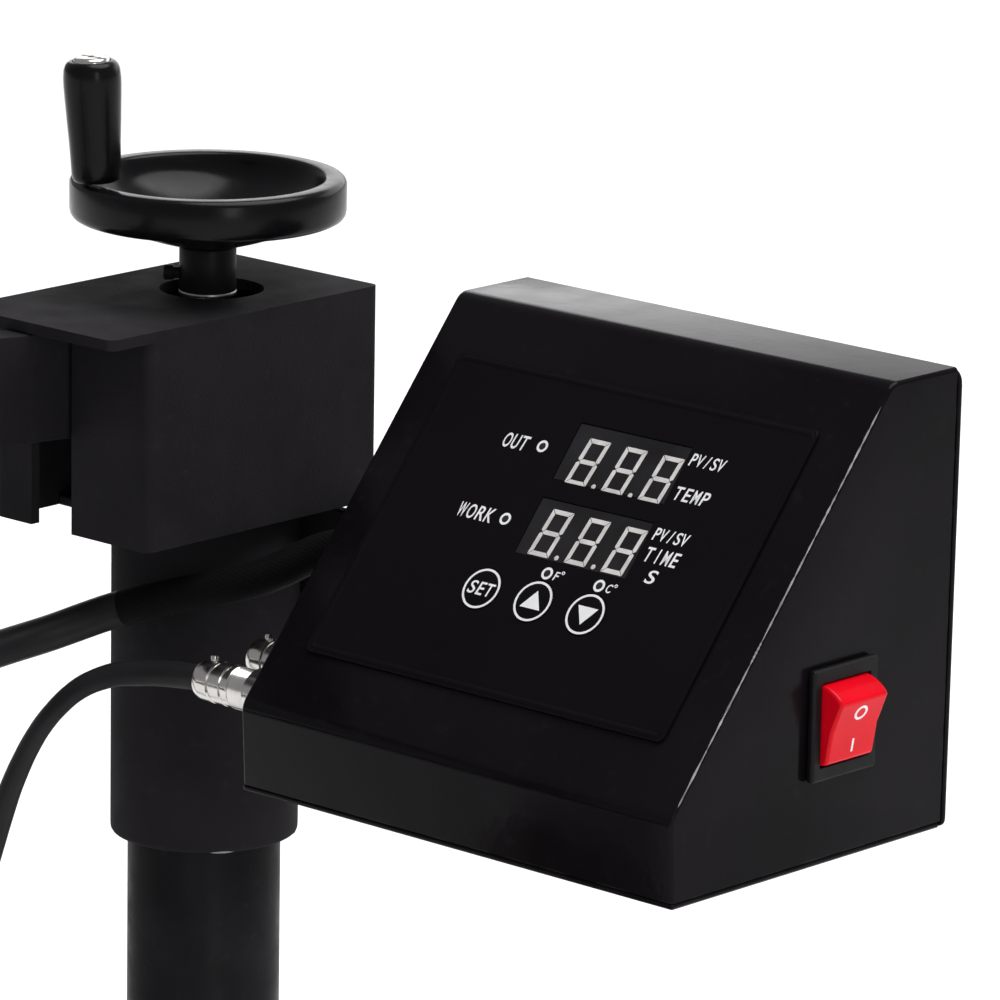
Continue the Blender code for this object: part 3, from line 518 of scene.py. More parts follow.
def cut_away(obj, low, high):
    """Takes a box out of a finished mesh."""
    corners = [(x, y, z) for x in (low[0], high[0]) for y in (low[1], high[1])
               for z in (low[2], high[2])]
    faces = [(0, 1, 3, 2), (4, 6, 7, 5), (0, 4, 5, 1), (2, 3, 7, 6), (0, 2, 6, 4), (1, 5, 7, 3)]
    cutter = bpy.data.objects.new("cutter", mesh_of("cutter", corners, faces))
    bpy.context.scene.collection.objects.link(cutter)
    boolean = obj.modifiers.new("cut", "BOOLEAN")
    boolean.object = cutter
    boolean.solver = "EXACT"
    bake(obj)
    bpy.data.objects.remove(cutter, do_unlink=True)


# ---------------------------------------------------------------- leads
# The routes of part.py, point for point.
HEATER_LEAD = [
    (0.0600, -0.0050, 0.3510), (0.0520, -0.0090, 0.3485), (0.0440, -0.0170, 0.3430),
    (0.0370, -0.0225, 0.3397), (0.0250, -0.0285, 0.3358), (0.0120, -0.0345, 0.3314),
    (0.0020, -0.0390, 0.3277), (-0.0080, -0.0520, 0.3222), (-0.0140, -0.0680, 0.3188),
    (-0.0190, -0.0950, 0.3140), (-0.0225, -0.1250, 0.3060), (-0.0240, -0.1550, 0.2965),
    (-0.0240, -0.1800, 0.2920), (-0.0233, -0.2040, 0.2910),
]
MUG_LEAD_UPPER = [
    (0.0494, -0.0511, 0.3208), (0.0382, -0.0517, 0.3198), (0.0290, -0.0530, 0.3185),
    (0.0200, -0.0555, 0.3166), (0.0124, -0.0600, 0.3124), (0.0060, -0.0638, 0.3052),
    (0.0008, -0.0667, 0.2963), (-0.0041, -0.0695, 0.2838), (-0.0082, -0.0719, 0.2693),
    (-0.0114, -0.0737, 0.2563), (-0.0141, -0.0752, 0.2400), (-0.0166, -0.0768, 0.2200),
]
MUG_LEAD_LOWER = [
    (-0.0167, -0.0769, 0.2196), (-0.0190, -0.0785, 0.1980), (-0.0240, -0.0820, 0.1600),
    (-0.0320, -0.0885, 0.1200), (-0.0430, -0.1020, 0.0820), (-0.0540, -0.1220, 0.0480),
    (-0.0640, -0.1500, 0.0220), (-0.0760, -0.1850, 0.0060), (-0.0900, -0.2250, 0.0036),
    (-0.1060, -0.2620, 0.0042), (-0.1210, -0.2900, 0.0200), (-0.1300, -0.3120, 0.0560),
    (-0.1290, -0.3310, 0.0900), (-0.1170, -0.3450, 0.1110), (-0.0990, -0.3498, 0.1160),
    (-0.0812, -0.3500, 0.1160),
]
HEATER_LEAD_DIAMETER = 0.0100
MUG_LEAD_DIAMETER = 0.0064
ARM_JOIN = 10                   # the heater lead's point where it follows the arm fully
JACKET_START = (0.0050, -0.0375, 0.3290)    # where the braided sleeve of the heater lead, dark with painted shade of the head box, ends
ROUTE_SPACING = 0.002


def smooth_route(points):
    """A Catmull-Rom curve through the route's own points, in even short steps."""
    knots = [Vector(p) for p in points]
    knots = [2 * knots[0] - knots[1], *knots, 2 * knots[-1] - knots[-2]]
    route = [knots[1].copy()]
    for a, b, c, d in zip(knots, knots[1:], knots[2:], knots[3:]):
        steps = max(1, round((c - b).length / ROUTE_SPACING))
        for i in range(1, steps + 1):
            t = i / steps
            route.append(0.5 * (2 * b + (c - a) * t + (2 * a - 5 * b + 4 * c - d) * t ** 2
                                + (3 * b - a - 3 * c + d) * t ** 3))
    return route


def tube(name, route, radius, sides=20, squeeze=0.0, twist=0.0):
    """A tube along the route, with UVs in metres; squeeze flattens its section, twist turns it."""
    points, faces, uvs = [], [], []
    side = Vector((0, 0, 1))
    run = 0.0
    for i, place in enumerate(route):
        ahead = (route[min(i + 1, len(route) - 1)] - route[max(i - 1, 0)]).normalized()
        side = (side - side.dot(ahead) * ahead).normalized()
        across = ahead.cross(side)
        run += (place - route[i - 1]).length if i else 0.0
        lean = twist * run
        for j in range(sides + 1):
            angle = 2 * math.pi * j / sides
            wide = radius * (1 + squeeze) * math.cos(angle)
            thin = radius * (1 - squeeze) * math.sin(angle)
            u = wide * math.cos(lean) - thin * math.sin(lean)
            v = wide * math.sin(lean) + thin * math.cos(lean)
            if j < sides:
                points.append(place + u * side + v * across)
            uvs.append((run, 2 * math.pi * radius * j / sides))
    corner_uvs = []
    for i in range(len(route) - 1):
        for j in range(sides):
            a, b = i * sides + j, i * sides + (j + 1) % sides
            faces.append((a, b, b + sides, a + sides))
            row = i * (sides + 1) + j
            corner_uvs += [uvs[row], uvs[row + 1], uvs[row + sides + 2], uvs[row + sides + 1]]
    last = (len(route) - 1) * sides
    faces.append(tuple(reversed(range(sides))))
    faces.append(tuple(range(last, last + sides)))
    corner_uvs += [(0.0, 0.0)] * (2 * sides)
    mesh = bpy.data.meshes.new(name)
    mesh.from_pydata([tuple(p) for p in points], [], faces)
    layer = mesh.uv_layers.new(name="UVMap")
    for corner, uv in zip(layer.data, corner_uvs):
        corner.uv = uv
    mesh.shade_smooth()
    mesh.set_sharp_from_angle(angle=math.radians(50))
    return mesh


def nearest(route, place):
    return min(range(len(route)), key=lambda i: (route[i] - Vector(place)).length_squared)


def cord_piece(name, points, diameter, material, replaced, squeeze=0.0,
               twist=0.0):
    """A cord as one smooth tube through the route's points, start to end."""
    route = smooth_route(points)
    mesh = tube(name, route, diameter / 2, squeeze=squeeze, twist=twist)
    piece = add(name, mesh, material, replaces=replaced)
    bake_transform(piece)
    if material is SHADED_BRAID:
        # From here on the lead's bare jacket shows, in front of its braided sleeve, whose dark
        # colour is painted shade of the head box.
        mesh.materials.append(JACKET)
        bare = nearest(route, JACKET_START)
        for face in mesh.polygons:
            face.material_index = int(nearest(route, face.center) >= bare)


def make_leads():
    # The rear stretch is braided, and dark with painted shade of the head box up to the jacket.
    cord_piece("heater_lead_rear", HEATER_LEAD[:ARM_JOIN + 1], HEATER_LEAD_DIAMETER, SHADED_BRAID,
               ["heater_lead"])
    cord_piece("heater_lead_front", HEATER_LEAD[ARM_JOIN:], HEATER_LEAD_DIAMETER, JACKET,
               ["heater_lead"])
    # The mug lead's upper and lower routes make one cord, which lies still from the bench on.
    cord_piece("mug_lead", MUG_LEAD_UPPER + MUG_LEAD_LOWER[1:], MUG_LEAD_DIAMETER, JACKET,
               ["mug_lead_upper", "mug_lead_lower"],
               squeeze=0.12, twist=26.0)


def make_floor():
    corners = [(x * FLOOR_HALF, y * FLOOR_HALF, 0)
               for x, y in ((-1, -1), (1, -1), (1, 1), (-1, 1))]
    add("floor", mesh_of("floor", corners, [(0, 1, 2, 3)]), FLOOR)


# ---------------------------------------------------------------- control box
BOX_X = (0.0819, 0.2319)
BOX_BOTTOM = 0.3000
# The slanted panel's lower and upper fold, as (y, z). PANEL's frame starts at the lower one,
# with x across, s up the slope and z out of the panel.
PANEL_FOOT, PANEL_HEAD = (-0.0692, 0.3236), (0.0124, 0.4220)
SLOPE = math.atan2(PANEL_HEAD[1] - PANEL_FOOT[1], PANEL_HEAD[0] - PANEL_FOOT[0])
PANEL = Matrix.Translation((0.0, *PANEL_FOOT)) @ Matrix.Rotation(SLOPE, 4, "X")
BACK_Y, BACK_LEAN = 0.0384, (0.0398 - 0.0384) / 0.1226
SHEET = 0.0015
SIDE_TURN = Matrix(((0, 0, 1, 0), (1, 0, 0, 0), (0, 1, 0, 0), (0, 0, 0, 1)))
SWITCH_OPENING = ((0.2290, -0.0162, 0.3253), (0.2360, 0.0045, 0.3505))
# Stretches of the slanted right edge that carry a bright metal-grey sliver, by their place in s.
BRIGHT_STRETCHES = ((0.004, 0.021), (0.020, 0.046), (0.045, 0.052), (0.051, 0.083), (0.082, 0.096),
          (0.095, 0.121))

# Heights are above the panel.
FILM_BACK, OVERLAY_TOP = 0.0003, 0.0010
KEY_BACK, KEY_TOP = 0.0005, 0.0012
GLASS_TOP = OVERLAY_TOP - 0.0002
PRINT = (-0.00002, 0.00006)     # a print's back and front, from the face it lies on
OVERLAY_X, OVERLAY_S = (0.0940, 0.2182), (0.0188, 0.1104)
WINDOWS = {"display_upper": (0.1441, 0.1822, 0.0813, 0.0981),
           "display_lower": (0.1441, 0.1822, 0.0590, 0.0756)}
KEYS = {"key_set": 0.1400, "key_up": 0.1580, "key_down": 0.1760}
KEY_S, KEY_RADIUS = 0.0470, 0.0060
DIGIT_LEFT, DIGIT_PITCH, DIGIT_ROWS = 0.1482, 0.01265, (0.0809, 0.0595)
DIGIT_WIDTH, DIGIT_HEIGHT = 0.0072, 0.0137
LAMPS = ((0.1358, 0.0893), (0.1360, 0.0673), (0.1578, 0.0554), (0.1757, 0.0555))
DEGREE_SIGNS = (0.1628, 0.1809)
LABELS = (      # words, left, right, low, high
    ("OUT", 0.1226, 0.1310, 0.0868, 0.0911), ("WORK", 0.1198, 0.1318, 0.0651, 0.0693),
    ("PV/SV", 0.1837, 0.1952, 0.0932, 0.0968), ("TEMP", 0.1842, 0.1956, 0.0831, 0.0870),
    ("PV/SV", 0.1842, 0.1957, 0.0711, 0.0747), ("TIME", 0.1848, 0.1960, 0.0649, 0.0691),
    ("S", 0.1884, 0.1918, 0.0592, 0.0631), ("F", 0.1603, 0.1620, 0.0540, 0.0565),
    ("C", 0.1783, 0.1801, 0.0541, 0.0566),
)


def make_control_shell():
    """Folded sheet: front, slanted panel and top in one bend line each, with two side walls."""
    foot = 0.30175
    outer = fillet([(-0.0681, foot, 0), (*PANEL_FOOT, 0.0062), (*PANEL_HEAD, 0.0055),
                    (0.0382, PANEL_HEAD[1], 0), (0.0368, foot, 0)], 6)
    mesh = flat_mesh("control_shell_fine", [outer], BOX_X[1] - BOX_X[0],
                     Matrix.Translation((BOX_X[0], 0, 0)) @ SIDE_TURN)
    shell = stand_in("control_shell", mesh)
    with edited(mesh) as bm:
        covered = [f for f in bm.faces if f.normal.z < -0.9 or f.normal.y > 0.9]
        bmesh.ops.delete(bm, geom=covered, context="FACES_ONLY")
    bevel = shell.modifiers.new("fold", "BEVEL")
    bevel.width = 0.0011
    bevel.segments = 3
    bevel.limit_method = "ANGLE"
    bevel.angle_limit = math.radians(60)
    skin = shell.modifiers.new("skin", "SOLIDIFY")
    skin.thickness = SHEET
    skin.offset = -1.0
    bake(shell)
    cut_away(shell, *SWITCH_OPENING)
    shade(shell, 38.0)
    # Bright metal-grey slivers along the fold between the panel and the right wall.
    merged([bright_sliver(*stretch) for stretch in BRIGHT_STRETCHES], "bright_edge_slivers", METAL_GREY, "head")


def back_y(z):
    """The box's back leans out a little with its height."""
    return BACK_Y + BACK_LEAN * (z - BOX_BOTTOM)


def make_rear_cover():
    """A flat sheet with rounded corners, screwed to the back."""
    left, right, top, thickness = 0.0813, 0.2325, 0.4216, 0.0013
    outline = fillet([(left, BOX_BOTTOM, 0.0025), (right, BOX_BOTTOM, 0.0025),
                      (right, top, 0.0045), (left, top, 0.0045)], 6, closed=True)
    rings = [[Vector((x, back_y(z) - depth, z)) for x, z in outline] for depth in (0, thickness)]
    soften(stand_in("control_rear_cover", loft("control_rear_cover_fine", rings)), 0.0004)


def bright_sliver(start, end):
    """A sliver lying on the rounded fold between the panel and the right wall."""
    steps = 16
    rings = []
    for i in range(steps + 1):
        s = start + (end - start) * i / steps
        width = 0.00026 * max(0.0, math.sin(math.pi * i / steps)) ** 0.3 + 0.00003
        width *= 0.75 + 0.25 * math.sin(s * 5200.0)
        centre = PANEL @ Vector((BOX_X[1] - 0.00032, s, -0.00032))
        out = (PANEL.to_3x3() @ Vector((1, 0, 1))).normalized()
        across = (PANEL.to_3x3() @ Vector((1, 0, -1))).normalized()
        rings.append([centre + across * width + out * 0.00001, centre + out * 0.00005,
                      centre - across * width + out * 0.00001, centre - out * 0.0002])
    return loft("edge_sliver", rings)


def merged(meshes, name, material, body, replaces=()):
    """Several meshes as one piece."""
    bm = bmesh.new()
    for mesh in meshes:
        bm.from_mesh(mesh)
    whole = bpy.data.meshes.new(name)
    bm.to_mesh(whole)
    bm.free()
    return add(name, whole, material, body, replaces)


def words_mesh(words, left, right, low, high, z):
    """Printed letters fitted between two x and two s values."""
    curve = bpy.data.curves.new("letters", "FONT")
    curve.body = words
    curve.offset = 0.010
    curve.space_character = 1.12
    curve.shear = 0.14
    curve.extrude = 0.01
    mesh = mesh_from_curve(curve)
    xs = [v.co.x for v in mesh.vertices]
    ys = [v.co.y for v in mesh.vertices]
    wide, tall = (right - left) / (max(xs) - min(xs)), (high - low) / (max(ys) - min(ys))
    for v in mesh.vertices:
        v.co = PANEL @ Vector((left + (v.co.x - min(xs)) * wide, low + (v.co.y - min(ys)) * tall,
                               z + PRINT[v.co.z > 0]))
    return mesh


def label_meshes(words, left, right, low, high, z):
    """A word whose letters have equal cells, as condensed panel lettering has."""
    filled = 0.86 if len(words) > 1 else 1.0
    cell = (right - left) / (len(words) - 0.14 if len(words) > 1 else 1)
    made = []
    for k, letter in enumerate(words):
        wide = cell * {"I": 0.24, "/": 0.62}.get(letter, filled)
        start = left + k * cell + ((cell * 0.86 - wide) / 2 if letter in "I/" else 0.0)
        made.append(words_mesh(letter, start, start + wide, low, high, z))
    return made


def panel_circle(x, s, radius, z, steps):
    return [PANEL @ Vector((u, v, z)) for u, v in circle(radius, steps, (x, s))]


def ring_mesh(x, s, outer, inner, z, steps=48):
    back, front = PRINT
    return loft("ring", [panel_circle(x, s, radius, z + height, steps) for radius, height in (
        (outer, back), (outer, front), (inner, front), (inner, back))], caps=False)


def disc_mesh(x, s, radius, z, dome=0.0002):
    return loft("disc", [panel_circle(x, s, part * radius, z + height, 32) for part, height in (
        (1.0, PRINT[0]), (0.96, 0.4 * dome), (0.7, 0.8 * dome), (0.3, dome))])


def shape_mesh(outline, z):
    """A small printed shape on the panel."""
    return loft("shape", [[PANEL @ Vector((x, s, z + h)) for x, s in outline] for h in PRINT])


def digit_meshes(left, low):
    """Seven slanted, mitred bars; (left, low) is the digit's lower left corner."""
    width, height = DIGIT_WIDTH, DIGIT_HEIGHT
    lean = math.tan(math.radians(5.2))
    t, gap = 0.00128, 0.00013
    half = height / 2

    def flip(outline, sideways, over):
        return [(width - u if sideways else u, height - v if over else v) for u, v in outline]

    foot = [(gap, 0.0), (width - gap, 0.0), (width - t - gap, t), (t + gap, t)]
    waist = [(t / 2 + gap, half), (t + gap, half - t / 2), (width - t - gap, half - t / 2),
             (width - t / 2 - gap, half), (width - t - gap, half + t / 2),
             (t + gap, half + t / 2)]
    upright = [(0.0, gap), (t, t + gap), (t, half - t / 2 - gap), (t / 2, half - gap),
               (0.0, half - gap - t / 3)]
    bars = [foot, flip(foot, False, True), waist]
    bars += [flip(upright, sideways, over) for sideways in (False, True)
             for over in (False, True)]
    return [shape_mesh([(left + u + lean * v, low + v) for u, v in bar], GLASS_TOP)
            for bar in bars]


def rounded_rectangle(left, right, low, high, radius, steps):
    return fillet([(left, low, radius), (right, low, radius), (right, high, radius),
                   (left, high, radius)], steps, closed=True)


def make_film():
    """The keypad's film with holes for its windows and keys, and a rib pressed round its edge."""
    (left, right), (low, high) = OVERLAY_X, OVERLAY_S
    gap = 0.0002
    holes = [[(a - gap, c - gap), (b + gap, c - gap), (b + gap, d + gap), (a - gap, d + gap)]
             for a, b, c, d in WINDOWS.values()]
    holes += [circle(KEY_RADIUS + 0.00015, 48, (x, KEY_S)) for x in KEYS.values()]
    mesh = flat_mesh("panel_overlay_fine",
                     [rounded_rectangle(left, right, low, high, 0.0024, 6), *holes],
                     OVERLAY_TOP - FILM_BACK, PANEL @ Matrix.Translation((0, 0, FILM_BACK)))
    soften(stand_in("panel_overlay", mesh), 0.00035)
    edge = 0.0014
    inset = rounded_rectangle(left + edge, right - edge, low + edge, high - edge, 0.0018, 8)
    half_round = [math.radians(a) for a in (-20, 15, 45, 90, 135, 165, 200)]
    count = len(inset)
    rings = []
    for i in range(count + 1):
        before, here, after = (Vector(inset[(i + k) % count]) for k in (-1, 0, 1))
        along = (after - before).normalized()
        out = Vector((along.y, -along.x))
        rings.append([PANEL @ Vector((*(here + out * 0.0009 * math.cos(a)),
                                      OVERLAY_TOP - 0.00008 + 0.00028 * math.sin(a)))
                      for a in half_round])
    shade(add("overlay_rib", loft("overlay_rib", rings, caps=False), FILM, "head"), 60.0)


def make_windows():
    for node, (a, b, c, d) in WINDOWS.items():
        mesh = flat_mesh(node + "_fine", [[(a, c), (b, c), (b, d), (a, d)]],
                         GLASS_TOP - FILM_BACK, PANEL @ Matrix.Translation((0, 0, FILM_BACK)))
        soften(stand_in(node, mesh), 0.00015)


def make_keys():
    """Thin round keys, with room beneath them for their press of 0.4 mm."""
    profile = [(0.0, KEY_TOP), (KEY_RADIUS - 0.0004, KEY_TOP),
               (KEY_RADIUS - 0.0001, KEY_TOP - 0.0001), (KEY_RADIUS, KEY_TOP - 0.0003),
               (KEY_RADIUS, KEY_BACK), (0.0, KEY_BACK)]
    for node, x in KEYS.items():
        mesh = lathe(node + "_fine", profile, steps=56)
        mesh.transform(PANEL @ Matrix.Translation((x, KEY_S, 0.0)))
        shade(stand_in(node, mesh), 50.0)


def make_panel_print():
    prints = [ring_mesh(x, s, 0.00175, 0.00105, OVERLAY_TOP) for x, s in LAMPS]
    for label in LABELS:
        prints += label_meshes(*label, OVERLAY_TOP)
    prints += [ring_mesh(x, 0.0565, 0.00050, 0.00025, OVERLAY_TOP, 20) for x in DEGREE_SIGNS]
    merged(prints, "panel_print", INK, "head")
    digits = []
    for low in DIGIT_ROWS:
        for k in range(3):
            left = DIGIT_LEFT + k * DIGIT_PITCH
            digits += digit_meshes(left, low)
            if k < 2:
                digits.append(disc_mesh(left + 0.0098, low + 0.0007, 0.00072, GLASS_TOP, 0.00006))
    merged(digits, "display_digits", SEGMENT, "head")
    lamps = [disc_mesh(x, s, 0.00100, OVERLAY_TOP - 0.0001) for x, s in LAMPS]
    shade(merged(lamps, "panel_lamps", LAMP, "head"))


def make_key_print():
    """A ring on each key, with a word or an arrow in it that rides on the key."""
    for node, x in KEYS.items():
        marks = [ring_mesh(x, KEY_S, KEY_RADIUS - 0.0002, KEY_RADIUS - 0.00082, KEY_TOP)]
        if node == "key_set":
            marks += label_meshes("SET", x - 0.0042, x + 0.0042, KEY_S - 0.0019,
                                  KEY_S + 0.0019, KEY_TOP)
        else:
            up = 1 if node == "key_up" else -1
            arrow = [(x + up * u, KEY_S + up * v)
                     for u, v in ((-0.0034, -0.0021), (0.0034, -0.0021), (0.0, 0.0031))]
            marks.append(shape_mesh(arrow, KEY_TOP))
        merged(marks, node + "_print", INK, node)


# ---------------------------------------------------------------- rocker switch
ROCKER_PIVOT = Vector((0.2326, -0.00585, 0.3379))
ROCKER_REST = -16.0


def rocker_point(angle, radius):
    a = math.radians(ROCKER_REST + angle)
    return ROCKER_PIVOT + Vector((radius * math.cos(a), 0.0, radius * math.sin(a)))


def on_rocker(side, outline, height):
    """An outline (across, along) on one half of the button, 1 the upper and -1 the lower."""
    crease = rocker_point(0, 0.0054)
    along = (rocker_point(side * 54.0, 0.0107) - crease).normalized()
    normal = Vector((along.z * side, 0, -along.x * side)).normalized()
    centre = crease + along * 0.0047 + normal * (0.00003 + height)
    return [centre + Vector((0, u, 0)) + along * v for u, v in outline]


def make_rocker():
    """Bezel with a raised lip, and a glossy button whose marks ride on it."""
    rounded("rocker_bezel", 0.0007, 3)
    rounded("rocker_button", 0.0008, 3)
    back, front = -0.00003, 0.00005
    ring = [on_rocker(1, [(1.15 * u, v) for u, v in circle(radius, 36)], height)
            for radius, height in ((0.0021, back), (0.0021, front), (0.0014, front),
                                   (0.0014, back))]
    bar = [(-0.00035, -0.0018), (0.00035, -0.0018), (0.00035, 0.0018), (-0.00035, 0.0018)]
    marks = [loft("o", ring, caps=False),
             loft("i", [on_rocker(-1, bar, height) for height in (back, front)])]
    merged(marks, "rocker_marks", INK, "rocker")


# ---------------------------------------------------------------- connectors
WALL_X = 0.0816
OUTWARDS = (0.0, -math.pi / 2, 0.0)     # turns a lathe's axis to point out of the left wall


def make_connectors():
    for node, y, z in (("connector_front", -0.0511, 0.3210), ("connector_rear", -0.0307, 0.3231)):
        thread = []
        for k in range(9):
            base = 0.0118 + k * 0.00062
            thread += [(0.00545, base), (0.00572, base + 0.00031)]
        profile = ([(0.0086, 0.0), (0.0086, 0.0026), (0.0081, 0.0035), (0.0064, 0.0044),
                    (0.0064, 0.0052), (0.0066, 0.0055), (0.0066, 0.0108), (0.0062, 0.0113)]
                   + thread + [(0.00545, 0.0176), (0.00565, 0.0179), (0.00565, 0.0196),
                               (0.00530, 0.0199), (0.00530, 0.0203), (0.00570, 0.0206),
                               (0.00570, 0.0240), (0.00530, 0.0243), (0.00530, 0.0249),
                               (0.00575, 0.0252), (0.00580, 0.0285), (0.00545, 0.0303),
                               (0.00460, 0.0314), (0.00395, 0.0317), (0.00350, 0.0317),
                               (0.00345, 0.0308), (0.00345, 0.0)])
        turned(node, profile, 30.0, 72, True, (WALL_X, y, z), OUTWARDS)
        screw = lathe(node + "_screw", [(0.0, 0.0014), (0.0008, 0.0013), (0.0010, 0.0010),
                                        (0.0010, -0.0006), (0.0, -0.0006)],
                      (WALL_X - 0.0272, y, z + 0.0058), steps=20)
        shade(add(node + "_screw", screw, NICKEL, "head"))


def make_lead_gland():
    bore = 0.0062
    profile = [(0.0125, 0.0), (0.0125, 0.0076), (0.0119, 0.0080), (0.0099, 0.0082)]
    for k in range(5):
        profile += [(0.0096 - 0.0003 * k, 0.0092 + k * 0.0021),
                    (0.0088 - 0.0003 * k, 0.0102 + k * 0.0021)]
    profile += [(0.0076, 0.0198), (bore, 0.0200), (bore, 0.0)]
    turned("lead_gland", profile, 50.0, 48, True, (WALL_X, -0.0050, 0.3510), OUTWARDS, RUBBER)


# ---------------------------------------------------------------- wheel and grip
WHEEL_TOP, WHEEL_HUB = 0.4428, 0.4238
GRIP_ANGLE = math.radians(-111.1)
GRIP_PLACE = (0.0329 * math.cos(GRIP_ANGLE), 0.0329 * math.sin(GRIP_ANGLE), WHEEL_TOP + 0.0003)
GRIP_FRAME = Matrix.Translation(GRIP_PLACE) @ Matrix.Rotation(math.radians(-1.91), 4, "Y") \
    @ Matrix.Rotation(math.radians(1.75), 4, "X")
GRIP_TOP = 0.0336
COUPLING_RADIUS = 0.0078


def make_wheel():
    hub, top = WHEEL_HUB, WHEEL_TOP
    outer, bottom = 0.0377, top - 0.0114
    profile = [(0.0, hub + 0.0037), (0.0070, hub + 0.0037), (0.0110, hub + 0.0041),
               (0.0165, hub + 0.0060), (0.0205, hub + 0.0078), (0.0240, hub + 0.0096),
               (0.0275, hub + 0.0118), (0.0296, hub + 0.0137), (0.0305, hub + 0.0152),
               (0.0312, hub + 0.0168), (0.0317, top - 0.0007), (0.0322, top - 0.0002),
               (0.0329, top), (0.0359, top), (0.0366, top - 0.0002), (0.0373, top - 0.0008),
               (outer, top - 0.0017), (outer, bottom + 0.0026), (0.0375, bottom + 0.0014),
               (0.0369, bottom + 0.0005), (0.0360, bottom), (0.0300, bottom),
               (0.0290, bottom - 0.0004), (0.0270, hub + 0.0060), (0.0240, hub + 0.0050),
               (0.0200, hub + 0.0034), (0.0165, hub + 0.0022), (0.0125, hub + 0.0010),
               (0.0100, hub + 0.0004), (0.0080, hub), (0.0, hub)]
    turned("handwheel", profile, 75.0, 128)
    coupling = [(0.0053, 0.4235), (0.0072, 0.4235), (0.0076, 0.4233), (COUPLING_RADIUS, 0.4229),
                (COUPLING_RADIUS, 0.4106), (0.0076, 0.4102), (0.0072, 0.4100), (0.0053, 0.4100)]
    turned("wheel_coupling", coupling, 50.0, 72, ring=True)
    ring = [(COUPLING_RADIUS, 0.4112), (0.00795, 0.4110), (0.00795, 0.4102),
            (COUPLING_RADIUS, 0.4100)]
    shade(add("coupling_ring", lathe("coupling_ring", ring, steps=72, ring=True), STEEL,
              "pressure_wheel"), 50.0)
    turns, thread_length = 22, 0.0235
    pitch = thread_length / turns
    thread = [(0.0, 0.4234)]
    for k in range(turns):
        z = 0.4230 - k * pitch
        thread += [(0.0050, z), (0.0044, z - pitch / 2)]
    thread += [(0.0044, 0.3992), (0.0, 0.3990)]
    turned("pressure_screw", thread, 30.0, 32)
    angle = math.radians(-138.0)
    reach = COUPLING_RADIUS + 0.0002
    screw = [(0.0, 0.0030), (0.0010, 0.0030), (0.0010, 0.0040), (0.0018, 0.0040),
             (0.0021, 0.0037), (0.0021, 0.0014), (0.0016, 0.0011), (0.0016, -0.0012),
             (0.0, -0.0012)]
    turned("wheel_set_screw", screw, 35.0, 24,
           place=(reach * math.cos(angle), reach * math.sin(angle), 0.4157),
           turn=(0.0, math.pi / 2, angle))


def leaning(node, profile, angle, steps, ring=False):
    """A CAD node's lathe piece, set on the grip's leaning spindle."""
    mesh = lathe(node + "_fine", profile, steps=steps, ring=ring)
    mesh.transform(GRIP_FRAME)
    shade(stand_in(node, mesh), angle)


def make_grip():
    top = GRIP_TOP
    cap = [(0.0, top + 0.0006), (0.0007, top + 0.0010), (0.0034, top + 0.0010),
           (0.0044, top + 0.0008), (0.0049, top + 0.0003), (0.0050, top - 0.0004),
           (0.0050, top - 0.0022), (0.0028, top - 0.0022), (0.0028, 0.0), (0.0, 0.0)]
    leaning("grip_spindle", cap, 50.0, 48)
    slot = ((-0.0035, -0.0004), (0.0035, -0.0004), (0.0035, 0.0004), (-0.0035, 0.0004))
    slot_mesh = loft("cap_slot", [[GRIP_FRAME @ Vector((x, y, top + z)) for x, y in slot]
                                  for z in (0.00095, 0.00104)])
    add("cap_slot", slot_mesh, BLACKED, "pressure_wheel")
    body = [(0.0053, top - 0.0001), (0.0060, top - 0.0001), (0.0067, top - 0.0006),
            (0.0072, top - 0.0013), (0.0076, top - 0.0024), (0.0078, top - 0.0045),
            (0.00782, top - 0.0065), (0.0077, top - 0.0095), (0.0075, top - 0.0130),
            (0.0073, top - 0.0170), (0.0070, top - 0.0220), (0.0068, 0.0065), (0.0067, 0.0030),
            (0.0065, 0.0017), (0.0061, 0.0009), (0.0056, 0.0006), (0.0032, 0.0006),
            (0.0032, top - 0.0026), (0.0053, top - 0.0026)]
    leaning("crank_grip", body, 70.0, 64, ring=True)


# ---------------------------------------------------------------- head and column
def make_head():
    half, front, back, sheet, over = 0.0295, -0.0516, 0.0369, 0.0030, 0.0138
    left, right, bottom, top = -0.0153, 0.0002, 0.3512, 0.4115
    bend = 0.0028
    wrap = fillet([(right, front, 0), (half, front, bend), (half, back, bend),
                   (-half, back, bend), (-half, front, bend), (left, front, 0),
                   (left, front + sheet, 0), (-half + sheet, front + sheet, 0),
                   (-half + sheet, back - sheet, 0), (half - sheet, back - sheet, 0),
                   (half - sheet, front + sheet, 0), (right, front + sheet, 0)], 5, closed=True)
    walls = add("walls", flat_mesh("walls", [wrap], top - sheet + 0.0005 - bottom,
                                   Matrix.Translation((0, 0, bottom))), None)
    outline = fillet([(-half, front - over, 0.003), (half, front - over, 0.003),
                      (half, back, bend), (-half, back, bend)], 5, closed=True)
    hole = circle(0.0143, 72, (0.0008, 0.0008))
    lid = add("head_shell_fine", flat_mesh("head_shell_fine", [outline, hole], sheet,
                                           Matrix.Translation((0, 0, top - sheet))), None)
    union = lid.modifiers.new("weld", "BOOLEAN")
    union.operation = "UNION"
    union.solver = "EXACT"
    union.object = walls
    bake(lid)
    bpy.data.objects.remove(walls, do_unlink=True)
    with edited(lid.data) as bm:
        clean(bm, 0.00001, 0.5)
    lid.data.materials.clear()
    lid.data.materials.append(POWDER)
    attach(lid, "head")
    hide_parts("head_shell", "head_top_plate")
    soften(lid, 0.0007, 3)


